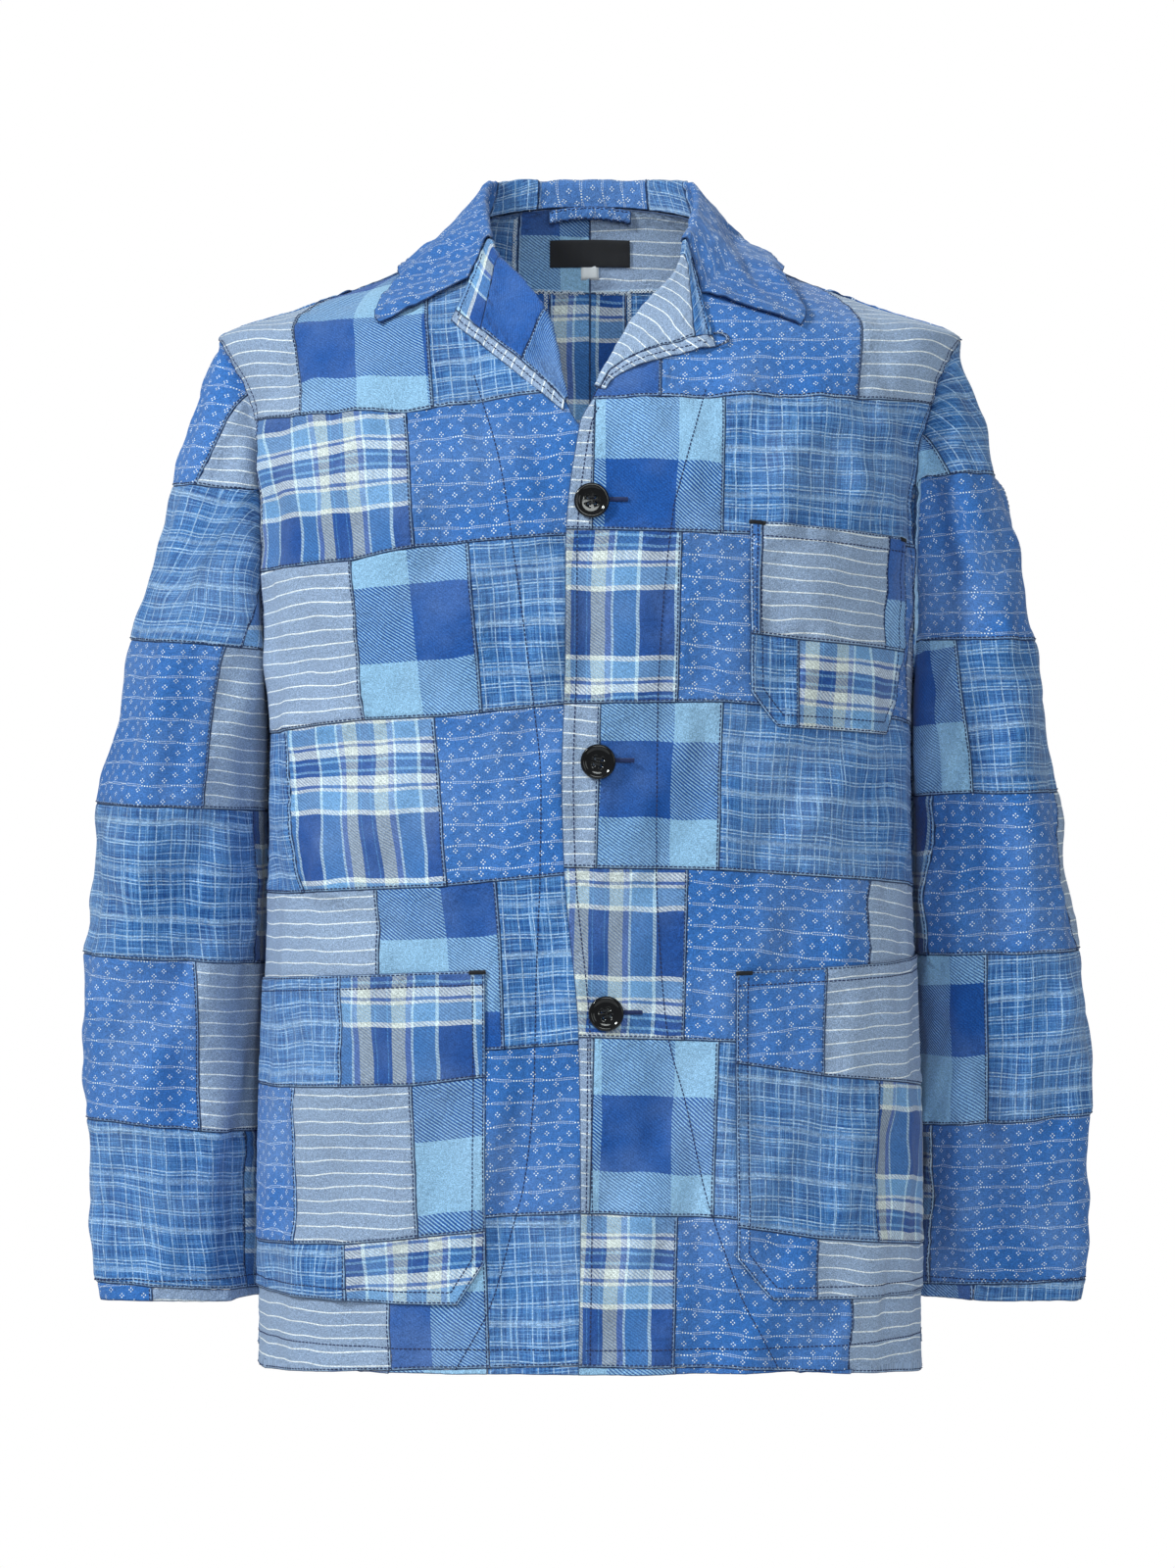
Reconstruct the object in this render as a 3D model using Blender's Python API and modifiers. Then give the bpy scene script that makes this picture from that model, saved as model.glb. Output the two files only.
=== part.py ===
"""A buttoned patchwork jacket in its worn form: two fronts, two backs, sleeves, notched collar, patch pockets.
Units are metres. The origin is midway between the two side-neck points. +X is the wearer's left, the front faces -Y."""

import math

import bpy
import numpy as np
from mathutils import Matrix, Vector

# Driving dimensions
cloth = 0.0012            # thickness of every cloth wall
seam_gap = 0.00035        # space left between two pieces that are sewn together
back_length = 0.721       # side-neck level down to the hem
shoulder_drop = 0.066     # side-neck level down to the shoulder tip
armhole_bottom = 0.285    # side-neck level down to the underarm
half_shoulder = 0.240     # centre to the shoulder tip
half_neck = 0.085         # centre to the side-neck point
front_cut = 11.0          # how far the armhole cuts into the front, degrees around the body
back_cut = 19.0           # the same for the back
overlap_lift = 0.0022     # the left front lies this far over the right front
hidden_edge = 0.022       # the right front reaches this far past the centre, under the left front
cuff_level = 0.688        # side-neck level down to the sleeve hem
roll_radius = 0.0024      # radius of the turn at the lapel roll and at the collar fold
roll_flat = 0.0008        # flat cloth between the panel edge and that turn
button_diameter = 0.022
button_height = 0.0034
button_hole = 0.0022
body_shift = 0.005        # the body's centre line lies this far behind the side-neck points
hole_steps = 12           # edges of the armhole on the front, and the same number on the back
button_places = ((0.001, -0.177), (0.005, -0.339), (0.010, -0.496))

# Body sections from hem to neck: level, half width, depth forward, depth back, squareness
sections = (
    (-0.721, 0.2140, 0.125, 0.120, 2.4),
    (-0.600, 0.2135, 0.124, 0.118, 2.4),
    (-0.450, 0.2090, 0.122, 0.112, 2.5),
    (-0.330, 0.2070, 0.125, 0.113, 2.6),
    (-0.240, 0.2090, 0.130, 0.122, 2.8),
    (-0.170, 0.2120, 0.128, 0.127, 2.8),
    (-0.130, 0.2160, 0.120, 0.125, 2.6),
    (-0.100, 0.2240, 0.110, 0.120, 2.4),
    (-0.066, 0.2400, 0.092, 0.107, 2.1),
    (-0.045, 0.1840, 0.083, 0.097, 2.0),
    (-0.022, 0.1210, 0.074, 0.086, 2.0),
    (-0.010, 0.1000, 0.068, 0.080, 2.0),
    (0.000, 0.0850, 0.062, 0.075, 2.0),
)


def through(knots, values, x):
    """A smooth curve through the knots that doesn't overshoot them."""
    k = np.asarray(knots, float)
    v = np.asarray(values, float)
    x = np.clip(np.asarray(x, float), k[0], k[-1])
    h = np.diff(k)
    d = np.diff(v) / h
    m = np.zeros(len(k))
    m[0], m[-1] = d[0], d[-1]
    same = d[:-1] * d[1:] > 0
    mean = 2 * d[:-1] * d[1:] / np.where(same, d[:-1] + d[1:], 1)
    m[1:-1] = np.where(same, mean, 0)
    i = np.clip(np.searchsorted(k, x, side="right") - 1, 0, len(h) - 1)
    s = (x - k[i]) / h[i]
    a = v[i] * (1 + 2 * s) * (1 - s) ** 2 + m[i] * h[i] * s * (1 - s) ** 2
    return a + v[i + 1] * s * s * (3 - 2 * s) + m[i + 1] * h[i] * s * s * (s - 1)


def through_points(knots, points, x):
    """The same curve for points in space."""
    p = np.asarray(points, float)
    return np.stack([through(knots, p[:, i], x) for i in range(p.shape[1])], axis=-1)


def smooth(low, high, x):
    t = np.clip((np.asarray(x, float) - low) / (high - low), 0, 1)
    return t * t * (3 - 2 * t)


def unit(v):
    v = np.asarray(v, float)
    return v / np.maximum(np.linalg.norm(v, axis=-1, keepdims=True), 1e-12)


section_table = np.array(sections)


def section(level, column):
    return through(section_table[:, 0], section_table[:, column], level)


def folds(angle, level):
    """Soft folds of the worn body: radial offset, gentle at the neck and strongest at the waist and hem."""
    a = np.radians(angle)
    low = smooth(-0.25, -0.60, level)
    run = 0.0022 * low * np.sin(6 * a + 1.1 + 2.2 * level)
    run += 0.0014 * low * np.sin(11 * a - 0.7 - 3.0 * level)
    centre = smooth(0.24, 0.55, np.abs(np.cos(a)))
    return run * centre


def tilt(angle, level):
    """Levels near the neck tip forward: their back is higher than their front."""
    near = smooth(-0.066, 0.0, level)
    return near * np.where(np.sin(np.radians(angle)) > 0, 0.36, 0.20)


def body(angle, level):
    """A point of the body surface. Angle 0 is the left side, -90 the front, 90 the back."""
    angle, level = np.broadcast_arrays(np.asarray(angle, float), np.asarray(level, float))
    c, s = np.cos(np.radians(angle)), np.sin(np.radians(angle))
    wide = section(level, 1)
    deep = np.where(s < 0, section(level, 2), section(level, 3))
    n = section(level, 4)
    r = (np.abs(c / wide) ** n + np.abs(s / deep) ** n) ** (-1 / n) + folds(angle, level)
    y = body_shift + r * s
    return np.stack([r * c, y, level + tilt(angle, level) * y], axis=-1)


def outward(angle, level):
    e, f = 0.05, 0.0002
    along = body(np.asarray(angle) + e, level) - body(np.asarray(angle) - e, level)
    up = body(angle, np.asarray(level) + f) - body(angle, np.asarray(level) - f)
    return unit(np.cross(along, up))


def lifted(angle, level, height):
    return body(angle, level) + outward(angle, level) * np.asarray(height)[..., None]


def front_place(x, z):
    """Angle and level of the point of the front that is seen at x, z."""
    x, z = np.broadcast_arrays(np.asarray(x, float), np.asarray(z, float))
    low, high = np.full(x.shape, -0.73), np.full(x.shape, 0.0)
    for _ in range(40):
        level = (low + high) / 2
        wide, deep, n = section(level, 1), section(level, 2), section(level, 4)
        y = body_shift - deep * (np.maximum(1 - np.abs(x / wide) ** n, 1e-9)) ** (1 / n)
        seen = level + smooth(-0.066, 0.0, level) * 0.20 * y
        low, high = np.where(seen < z, level, low), np.where(seen < z, high, level)
    return np.degrees(np.arctan2(y - body_shift, x)), level


def armhole_angle(level, cut):
    """Angle of the armhole edge at a level; 0 above the shoulder tip and below the underarm."""
    middle = -(shoulder_drop + armhole_bottom) / 2
    half = (armhole_bottom - shoulder_drop) / 2
    turn = np.clip((middle - np.asarray(level, float)) / half, -1, 1)
    return cut * np.maximum(1 - turn * turn, 0) ** 0.41


# Front edges seen from the front as x, z in the wearer's left frame. The right front is mirrored.
left_edge = ((-0.0073, -0.721), (-0.0060, -0.615), (-0.0073, -0.512), (-0.0165, -0.402), (-0.0177, -0.353),
             (-0.0153, -0.255), (-0.0153, -0.207), (-0.0067, -0.130), (0.0015, -0.1127), (0.0110, -0.094),
             (0.036, -0.054), (0.0620, -0.0098))
right_edge = ((-hidden_edge, -0.721), (-hidden_edge, -0.400), (-hidden_edge, -0.150), (0.0085, -0.127),
              (0.0260, -0.068), (0.0450, -0.036), (0.0655, -0.0085))


def edge_places(points):
    p = np.array(points)
    angle, level = front_place(p[:, 0], p[:, 1])
    level[0], level[-1] = -back_length, 0.0
    return angle, level


def inner_angle(points, level):
    angle, knots = edge_places(points)
    return through(knots, angle, level)


def over(angle, level):
    """How far the left front stands off where it covers the right front."""
    x = body(angle, level)[..., 0]
    return overlap_lift * (1 - smooth(0.026, 0.062, x)) * smooth(-0.085, -0.125, level)


def panel_levels():
    lower = np.linspace(-back_length, -armhole_bottom, 11)[:-1]
    middle = -(shoulder_drop + armhole_bottom) / 2
    half = (armhole_bottom - shoulder_drop) / 2
    turns = np.delete(np.linspace(0, math.pi, hole_steps + 1), hole_steps - 1)
    hole = middle - half * np.cos(turns)
    upper = -shoulder_drop * (1 - np.linspace(0, 1, 7)[1:])
    return np.concatenate([lower, hole, upper])


def spread(first, last, level, count):
    """Angles between first and last that divide the row at this level into equal lengths."""
    a = np.linspace(first, last, 121)
    p = body(a, level)
    length = np.concatenate([[0], np.cumsum(np.linalg.norm(np.diff(p, axis=0), axis=1))])
    return np.interp(np.linspace(0, length[-1], count), length, a)


def panel_rows(start, end, count):
    """Angles and levels of a body panel; start and end give the angle of its two edges at a level."""
    levels = panel_levels()
    angles = []
    for level in levels:
        r = float(np.linalg.norm(body(0.0, level)[:2]))
        ridge = 1 + 1.6 * float(smooth(-0.10, -0.066, level))
        half = math.degrees(seam_gap / 2 * ridge / r)
        a, b = start(level), end(level)
        turn = 1 if b > a else -1
        angles.append(spread(a + turn * half, b - turn * half, level, count))
    return np.array(angles), np.repeat(levels[:, None], count, axis=1)


def material(name, colour, rough):
    m = bpy.data.materials.new(name)
    m.use_nodes = True
    shader = m.node_tree.nodes["Principled BSDF"]
    shader.inputs["Base Color"].default_value = (*colour, 1)
    shader.inputs["Roughness"].default_value = rough
    return m


def keep(obj, colour, rough, parts):
    parts.objects.link(obj)
    obj.data.materials.append(material(obj.name, colour, rough))
    return obj


def grid_object(name, points, closed=False, flip=False):
    """A sheet from a grid of points, rows by columns."""
    rows, columns = points.shape[:2]
    faces = []
    for i in range(rows - 1):
        for j in range(columns if closed else columns - 1):
            k = (j + 1) % columns
            face = (i * columns + j, i * columns + k, (i + 1) * columns + k, (i + 1) * columns + j)
            faces.append(face[::-1] if flip else face)
    mesh = bpy.data.meshes.new(name)
    mesh.from_pydata([tuple(map(float, p)) for p in points.reshape(-1, 3)], [], faces)
    mesh.update()
    return bpy.data.objects.new(name, mesh)


def thicken(obj, thickness=cloth):
    wall = obj.modifiers.new("wall", "SOLIDIFY")
    wall.thickness = thickness
    wall.offset = -1
    wall.use_even_offset = False
    return obj


def mirrored(points):
    return points * np.array([-1.0, 1.0, 1.0])


def build_front(name, side, parts):
    edge = left_edge if side > 0 else right_edge
    angle, level = panel_rows(lambda z: float(inner_angle(edge, z)), lambda z: -float(armhole_angle(z, front_cut)), 19)
    height = over(angle, level) if side > 0 else np.zeros(angle.shape)
    points = lifted(angle, level, height)
    if side < 0:
        points = mirrored(points)
    obj = thicken(grid_object(name, points, flip=side < 0))
    return keep(obj, (0.16, 0.27, 0.50), 0.9, parts)


def build_back(name, side, parts):
    angle, level = panel_rows(lambda z: float(armhole_angle(z, back_cut)), lambda z: 90.0, 15)
    points = body(angle, level)
    if side < 0:
        points = mirrored(points)
    obj = thicken(grid_object(name, points, flip=side < 0))
    return keep(obj, (0.20, 0.32, 0.55), 0.9, parts)


# The sleeve's outer line, level and half width, and its sections below the underarm
outer_levels = (-0.688, -0.639, -0.595, -0.544, -0.480, -0.429, -0.372, -0.321, -0.264, -0.210, -0.162, -0.130,
                -0.0986, -0.066)
outer_left = (0.3160, 0.3210, 0.3230, 0.3244, 0.3210, 0.3148, 0.3060, 0.2970, 0.2887, 0.2790, 0.2690, 0.2595,
              0.2530, 0.2415)
outer_right = (0.3200, 0.3240, 0.3280, 0.3294, 0.3294, 0.3240, 0.3160, 0.3066, 0.2957, 0.2840, 0.2716, 0.2620,
               0.2525, 0.2415)
sleeve_columns = 2 * hole_steps
ring_steps = (0.0, 0.006, 0.03, 0.07, 0.12, 0.18, 0.25, 0.33, 0.42, 0.51, 0.60, 0.69, 0.78, 0.86, 0.93, 1.0)


def armhole_points(turn):
    """Angle and level around the armhole: turn 0 underarm, 0.25 front, 0.5 shoulder tip, 0.75 back."""
    turn = np.asarray(turn, float)
    middle = -(shoulder_drop + armhole_bottom) / 2
    half = (armhole_bottom - shoulder_drop) / 2
    level = middle - half * np.cos(2 * math.pi * turn)
    front = turn < 0.5
    cut = np.where(front, -armhole_angle(level, front_cut), armhole_angle(level, back_cut))
    return cut, level


def leave_direction(turn):
    """Direction in which the sleeve leaves the armhole: along the body at the top, away from it at the underarm."""
    e = 0.004
    a0, z0 = armhole_points((turn - e) % 1)
    a1, z1 = armhole_points((turn + e) % 1)
    angle, level = armhole_points(turn)
    edge = unit(body(a1, z1) - body(a0, z0))
    normal = outward(angle, level)
    away = unit(np.cross(edge, normal))
    lean = smooth(-0.20, -0.284, level)[..., None]
    return unit(away * (1 - lean) + normal * lean)


def sleeve_ring(turn, t, outer):
    """An oval section of the sleeve, whose plane turns from the armhole's to level at 0.42 of the way down."""
    s = np.clip(t / 0.42, 0, 1)
    below = np.clip((t - 0.42) / 0.58, 0, 1)
    end = -0.36
    top_z = (-shoulder_drop) + (end + shoulder_drop) * s + (-cuff_level - end) * below
    low_z = (-armhole_bottom) + (end + armhole_bottom) * s + (-cuff_level - end) * below
    top_x = through(outer_levels, outer, top_z)
    back = through((-cuff_level, -0.45, -0.30, -0.06), (0.040, 0.028, 0.014, 0.004), (top_z + low_z) / 2)
    swing = through((-cuff_level, -0.45, -0.30, -0.06), (0.022, 0.012, 0.002, 0.0), low_z)
    low_x = through((-cuff_level, -0.55, -0.36, -0.285), (0.206, 0.204, 0.2060, 0.2080), low_z)
    depth = through((-cuff_level, -0.60, -0.45, -0.36, -0.20, -0.066), (0.034, 0.042, 0.053, 0.058, 0.062, 0.050),
                    (top_z + low_z) / 2)
    angle = 2 * math.pi * turn
    high = np.stack(np.broadcast_arrays(top_x, back - swing, top_z), axis=-1)
    low = np.stack(np.broadcast_arrays(low_x, back + swing, low_z), axis=-1)
    across = (high - low) / 2
    middle = (high + low) / 2
    c = -np.cos(angle)[..., None]
    s1 = np.sin(angle)[..., None]
    c = np.sign(c) * np.abs(c) ** 0.92
    s1 = np.sign(s1) * np.abs(s1) ** 0.92
    front = np.array([0.0, -1.0, 0.0])
    return middle + c * across + s1 * front * np.asarray(depth)[..., None]


def sleeve_folds(turn, t):
    """Long soft folds that run down the sleeve."""
    a = 2 * math.pi * turn
    grow = smooth(0.10, 0.45, t)
    return grow * (0.0024 * np.sin(3 * a + 1.3 + 3.2 * t) + 0.0015 * np.sin(5 * a - 1.0 - 4.5 * t))


def clear_of_body(points, room):
    """Moves points out so that they stand clear of the body's side below the shoulder."""
    x, y, z = points[..., 0], points[..., 1] - body_shift, points[..., 2]
    angle = np.degrees(np.arctan2(y, x))
    level = np.clip(z, -back_length, -shoulder_drop)
    near = body(angle, level)
    reach = np.hypot(near[..., 0], near[..., 1] - body_shift) + room
    now = np.hypot(x, y)
    scale = np.where(now < reach, reach / now, 1.0)
    out = points.copy()
    out[..., 0] = x * scale
    out[..., 1] = y * scale + body_shift
    return out


def sleeve_points(outer, steps, columns):
    """Rows of points down the sleeve, from the armhole to the hem."""
    turn = (np.arange(columns) / columns)[None, :]
    t = np.asarray(steps)[:, None]
    turn, t = np.broadcast_arrays(turn, t)
    angle, level = armhole_points(turn)
    hole = body(angle, level)
    top = columns // 2
    for k in (-1, 1):
        hole[:, top + k] = (hole[:, top] + hole[:, top + 2 * k]) / 2
    leave = leave_direction(turn)
    tight = smooth(-0.20, -0.284, level)
    travel = np.minimum(seam_gap + t * 0.40, 0.007 * (1 - tight) + 0.0028 * tight)
    travel = travel + 0.0007 * np.exp(-(((turn - 0.5) / 0.05) ** 2))
    start = hole + leave * travel[..., None]
    ring = sleeve_ring(turn, t, outer)
    e = 0.01
    around = sleeve_ring((turn + e) % 1, t, outer) - sleeve_ring((turn - e) % 1, t, outer)
    down = sleeve_ring(turn, np.minimum(t + e, 1), outer) - sleeve_ring(turn, np.maximum(t - e, 0), outer)
    normal = unit(np.cross(down, around))
    ring = ring + normal * sleeve_folds(turn, t)[..., None]
    share = smooth(0.004, 0.20, t)[..., None]
    points = start * (1 - share) + ring * share
    free = t > 0.004
    room = seam_gap + 0.0013 * smooth(0.0, 0.06, t) + 0.0016 * smooth(0.15, 0.45, t)
    cleared = clear_of_body(points, room)
    low = smooth(-0.13, -0.20, points[..., 2])[..., None]
    return np.where(free[..., None], points * (1 - low) + cleared * low, points)


def build_sleeve(name, side, parts):
    points = sleeve_points(outer_left if side > 0 else outer_right, ring_steps, sleeve_columns)
    if side < 0:
        points = mirrored(points)
    obj = thicken(grid_object(name, points, closed=True, flip=side > 0))
    return keep(obj, (0.18, 0.30, 0.54), 0.9, parts)


# Lapels: the level at which each starts, and the outer edge from there to the corner, as x, z
left_start, right_start = -0.1060, -0.1125
left_outer = ((0.0095, -0.1075), (0.0150, -0.1000), (0.0323, -0.0912), (0.0512, -0.0850), (0.0793, -0.0790))
right_outer = ((0.0165, -0.1210), (0.0311, -0.1090), (0.0573, -0.0870), (0.0878, -0.0614))
turn_steps = 4
gorge_gap = 0.0006
notch_share = 0.5         # the notch's place on the line from the roll to the lapel's corner
lapel_shares = (1 / 6, 1 / 3, notch_share, 0.75, 1.0)


def along_line(points, share):
    p = np.array(points)
    length = np.concatenate([[0], np.cumsum(np.linalg.norm(np.diff(p, axis=0), axis=1))])
    return through_points(length / length[-1], p, share)


def edge_frame(edge, level, toward, lift):
    """On the panel's edge at a level: the point, the normal, the way across the lapel and the way up the roll."""
    angle = inner_angle(edge, level)
    stops = panel_levels()
    i = min(int(np.searchsorted(stops, level, side="right")) - 1, len(stops) - 2)
    ends = inner_angle(edge, stops[i:i + 2])
    facet = lifted(ends, stops[i:i + 2], lift * over(ends, stops[i:i + 2]))
    point = facet[0] + (facet[1] - facet[0]) * (level - stops[i]) / (stops[i + 1] - stops[i])
    normal = outward(angle, level)
    step = 0.004
    high, low = np.minimum(level + step, 0), level - step
    roll = unit(body(inner_angle(edge, high), high) - body(inner_angle(edge, low), low))
    t_angle, t_level = front_place(*toward)
    across = body(t_angle, t_level) - body(angle, level)
    across = across - np.sum(across * roll) * roll
    across = unit(across - np.sum(across * normal) * normal)
    return point, unit(np.cross(roll, across)) * np.sign(np.dot(np.cross(roll, across), normal)), across, roll


def turn_points(point, normal, across, radius):
    """From the panel edge out, round the roll and back above the panel."""
    rows = [point - across * seam_gap]
    centre = point - across * (seam_gap + roll_flat) + normal * radius
    for a in np.linspace(0, math.pi, turn_steps + 1):
        rows.append(centre - across * (radius * math.sin(a)) - normal * (radius * math.cos(a)))
    return rows


def roll_levels(first):
    levels = panel_levels()
    return np.concatenate([[first], levels[levels > first + 0.006]])


def lapel_top(a, w, share, radius, lift):
    """A point of the lapel above the panel, at this share of the way from the roll to its outer edge."""
    x, z = a + (w - a) * share
    angle, level = front_place(x, z)
    return lifted(angle, level, lift * over(angle, level) + 2 * radius * (1 - share) + 0.0020 * share)


def lapel_points(edge, first, outer_line, lift):
    """Rows across the lapel, from the break up to the gorge, one at each level of the panel."""
    rows = []
    levels = roll_levels(first)
    edges = body(inner_angle(edge, levels), levels)
    run = np.concatenate([[0], np.cumsum(np.linalg.norm(np.diff(edges, axis=0), axis=1))])
    for level, start, p in zip(levels, edges, run / run[-1]):
        w = along_line(outer_line, p)
        point, normal, across, roll = edge_frame(edge, level, w, lift)
        radius = roll_radius * (0.45 + 0.55 * float(smooth(0, 0.35, p)))
        row = turn_points(point, normal, across, radius)
        a = start[[0, 2]]
        for q in lapel_shares:
            row.append(lapel_top(a, w, q, radius, lift))
        row = np.array(row)
        if p == 1:
            row = row - roll * gorge_gap
        rows.append(row)
    return np.array(rows)


def build_lapel(name, side, parts):
    if side > 0:
        points = lapel_points(left_edge, left_start, left_outer, 1.0)
    else:
        points = mirrored(lapel_points(right_edge, right_start, right_outer, 0.0))
    obj = thicken(grid_object(name, points, flip=side > 0))
    return keep(obj, (0.36, 0.44, 0.58), 0.9, parts)


# Collar, from the centre back (0) to the gorge (1)
collar_knots = (0.0, 0.20, 0.38, 0.52, 0.68, 0.84, 1.0)
seam_angles = (90.0, 66.0, 42.0, 24.0, 6.0, -14.0)
crease = ((0.0, 0.080, 0.0465), (0.031, 0.079, 0.0465), (0.0555, 0.068, 0.0455), (0.0675, 0.046, 0.0405),
          (0.0690, 0.016, 0.0270), (0.0660, -0.017, 0.0100))
crease_out = ((0, 1, 0), (0.15, 0.98, 0.05), (0.62, 0.78, 0.05), (0.93, 0.35, 0.1), (1, 0, 0.15),
              (0.93, -0.25, 0.30))
crease_up = ((0, 0, 1), (0, 0, 1), (-0.05, -0.05, 1), (-0.15, 0, 0.98), (-0.25, 0, 0.95), (-0.45, -0.15, 0.85))
fall_middle = ((0.0, 0.0935, 0.016), (0.038, 0.0915, 0.0155), (0.072, 0.081, 0.013), (0.0905, 0.055, 0.009),
               (0.0985, 0.017, 0.001), (0.0950, -0.020, -0.009))
fall_angle = (90.0, 66.0, 45.0, 29.0, 9.0, -13.0)
fall_level = (-0.0330, -0.0325, -0.0300, -0.0265, -0.0215, -0.0260)
collar_point = (0.1330, -0.0640)
fall_shares = (1 / 6, 1 / 3, 0.5, 2 / 3, 5 / 6, 1.0)
stand_rows = 3


def collar_end(edge, outer_line):
    """The collar's cut end: where its seam, crease, notch and point lie."""
    w = np.array(outer_line[-1])
    point, normal, across, roll = edge_frame(edge, np.float64(0), w, 0.0)
    a = point[[0, 2]]
    centre = point - across * (seam_gap + roll_flat) + normal * roll_radius
    notch = lapel_top(a, w, notch_share, roll_radius, 0.0)
    p_angle, p_level = front_place(*collar_point)
    gorge = [lapel_top(a, w, v, roll_radius, 0.0) for v in fall_shares if v <= 0.5]
    return normal, across, centre, notch, gorge, float(p_angle), float(p_level)


def collar_half(edge, outer_line, places):
    """Points of one half of the collar at the given shares of its length, 0 at the centre back."""
    normal, across, centre, middle, gorge, p_angle, p_level = collar_end(edge, outer_line)
    n_angle = float(inner_angle(edge, 0.0))
    seam_a = through(collar_knots, seam_angles + (n_angle,), places)
    out = unit(through_points(collar_knots, crease_out + (tuple(normal),), places))
    up = through_points(collar_knots, crease_up + (tuple(-across),), places)
    up = unit(up - np.sum(up * out, -1, keepdims=True) * out)
    top = through_points(collar_knots, crease + (tuple(centre - across * roll_radius),), places)
    mid = top - up * roll_radius
    seam = body(seam_a, np.zeros(len(places)))
    first = mid - out * roll_radius
    seam = seam + unit(first - seam) * seam_gap
    rows = [seam + (first - seam) * s for s in np.linspace(0, 1, stand_rows + 1)[:-1]]
    for a in np.linspace(0, math.pi, turn_steps + 1):
        rows.append(mid - out * (roll_radius * math.cos(a)) + up * (roll_radius * math.sin(a)))
    start = mid + out * roll_radius
    m = through_points(collar_knots, fall_middle + (tuple(middle),), places)
    o_angle = through(collar_knots, fall_angle + (p_angle,), places)
    o_level = through(collar_knots, fall_level + (p_level,), places)
    o = lifted(o_angle, o_level, np.full(len(places), 0.0024))
    corner = smooth(0.80, 1.0, places)[:, None]
    control = 2 * m - (start + o) / 2
    for k, v in enumerate(fall_shares):
        curve = (1 - v) ** 2 * start + 2 * v * (1 - v) * control + v * v * o
        line = start + (m - start) * 2 * v if v <= 0.5 else m + (o - m) * (2 * v - 1)
        if v <= 0.5:
            line = line + (gorge[k] - line[-1])
        rows.append(curve * (1 - corner) + line * corner)
    return np.array(rows)


def build_collar(name, parts):
    places = np.array([0.0, 0.09, 0.18, 0.26, 0.34, 0.42, 0.50, 0.58, 0.66, 0.74, 0.81, 0.87, 0.93, 1.0])
    left = collar_half(left_edge, left_outer, places)
    right = mirrored(collar_half(right_edge, right_outer, places))
    middle = (left[:, :1] + right[:, :1]) / 2
    points = np.concatenate([left[:, :0:-1], middle, right[:, 1:]], axis=1)
    obj = thicken(grid_object(name, points))
    return keep(obj, (0.24, 0.36, 0.56), 0.9, parts)


# Pockets: inner x, outer x or None for the side seam, top z at inner and outer, bottom z, clipped corner
chest_pocket = dict(side=1, inner=0.0994, outer=0.1985, top=(-0.1885, -0.1975), bottom=(-0.3160, -0.3230),
                    clip=(0.017, 0.021))
left_pocket = dict(side=1, inner=0.0900, outer=None, top=(-0.4700, -0.4630), bottom=(-0.6750, -0.6790),
                   clip=(0.023, 0.026))
right_pocket = dict(side=-1, inner=0.0650, outer=None, top=(-0.4690, -0.4780), bottom=(-0.6780, -0.6770),
                    clip=(0.017, 0.027))


def pocket_places(inner, outer, top, bottom, clip, columns, **_):
    """Angles and levels of a patch pocket laid on the front."""
    start = float(front_place(inner, (top[0] + bottom[0]) / 2)[0])
    if outer is None:
        end = -1.2
    else:
        end = float(front_place(outer, (top[1] + bottom[1]) / 2)[0])
    middle = (top[0] + bottom[0]) / 2
    line = spread(start, end, middle, 241)
    p = body(line, np.full(241, middle))
    length = np.concatenate([[0], np.cumsum(np.linalg.norm(np.diff(p, axis=0), axis=1))])
    wide, high = clip
    stops = np.array([0, wide * 0.5, wide])
    last = length[-1]
    if outer is None:
        u = np.concatenate([stops, np.linspace(wide, last, columns - 2)[1:]])
    else:
        u = np.concatenate([stops, np.linspace(wide, last - wide, columns - 4)[1:-1], last - stops[::-1]])
    angle = np.interp(u, length, line)
    share = u / last
    upper = top[0] + (top[1] - top[0]) * share
    lower = bottom[0] + (bottom[1] - bottom[0]) * share + high * np.clip(1 - u / wide, 0, 1)
    if outer is not None:
        lower = lower + high * np.clip(1 - (last - u) / wide, 0, 1)
    levels = panel_levels()
    levels = levels[(levels > np.max(lower) + 0.004) & (levels < np.min(upper) - 0.004)]
    rows = [lower] + [np.full(columns, z) for z in levels] + [upper]
    return np.repeat(angle[None], len(rows), axis=0), np.array(rows)


def on_panel(angle, level, height):
    """A point above the flat facets between the panel's levels."""
    levels = panel_levels()
    i = np.clip(np.searchsorted(levels, level, side="right") - 1, 0, len(levels) - 2)
    share = ((level - levels[i]) / (levels[i + 1] - levels[i]))[..., None]
    flat = body(angle, levels[i]) * (1 - share) + body(angle, levels[i + 1]) * share
    return flat + outward(angle, level) * height


def build_pocket(name, spec, columns, parts):
    angle, level = pocket_places(columns=columns, **spec)
    points = on_panel(angle, level, seam_gap + cloth)
    if spec["side"] < 0:
        points = mirrored(points)
    obj = thicken(grid_object(name, points, flip=spec["side"] < 0))
    return keep(obj, (0.26, 0.38, 0.60), 0.9, parts)


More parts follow.
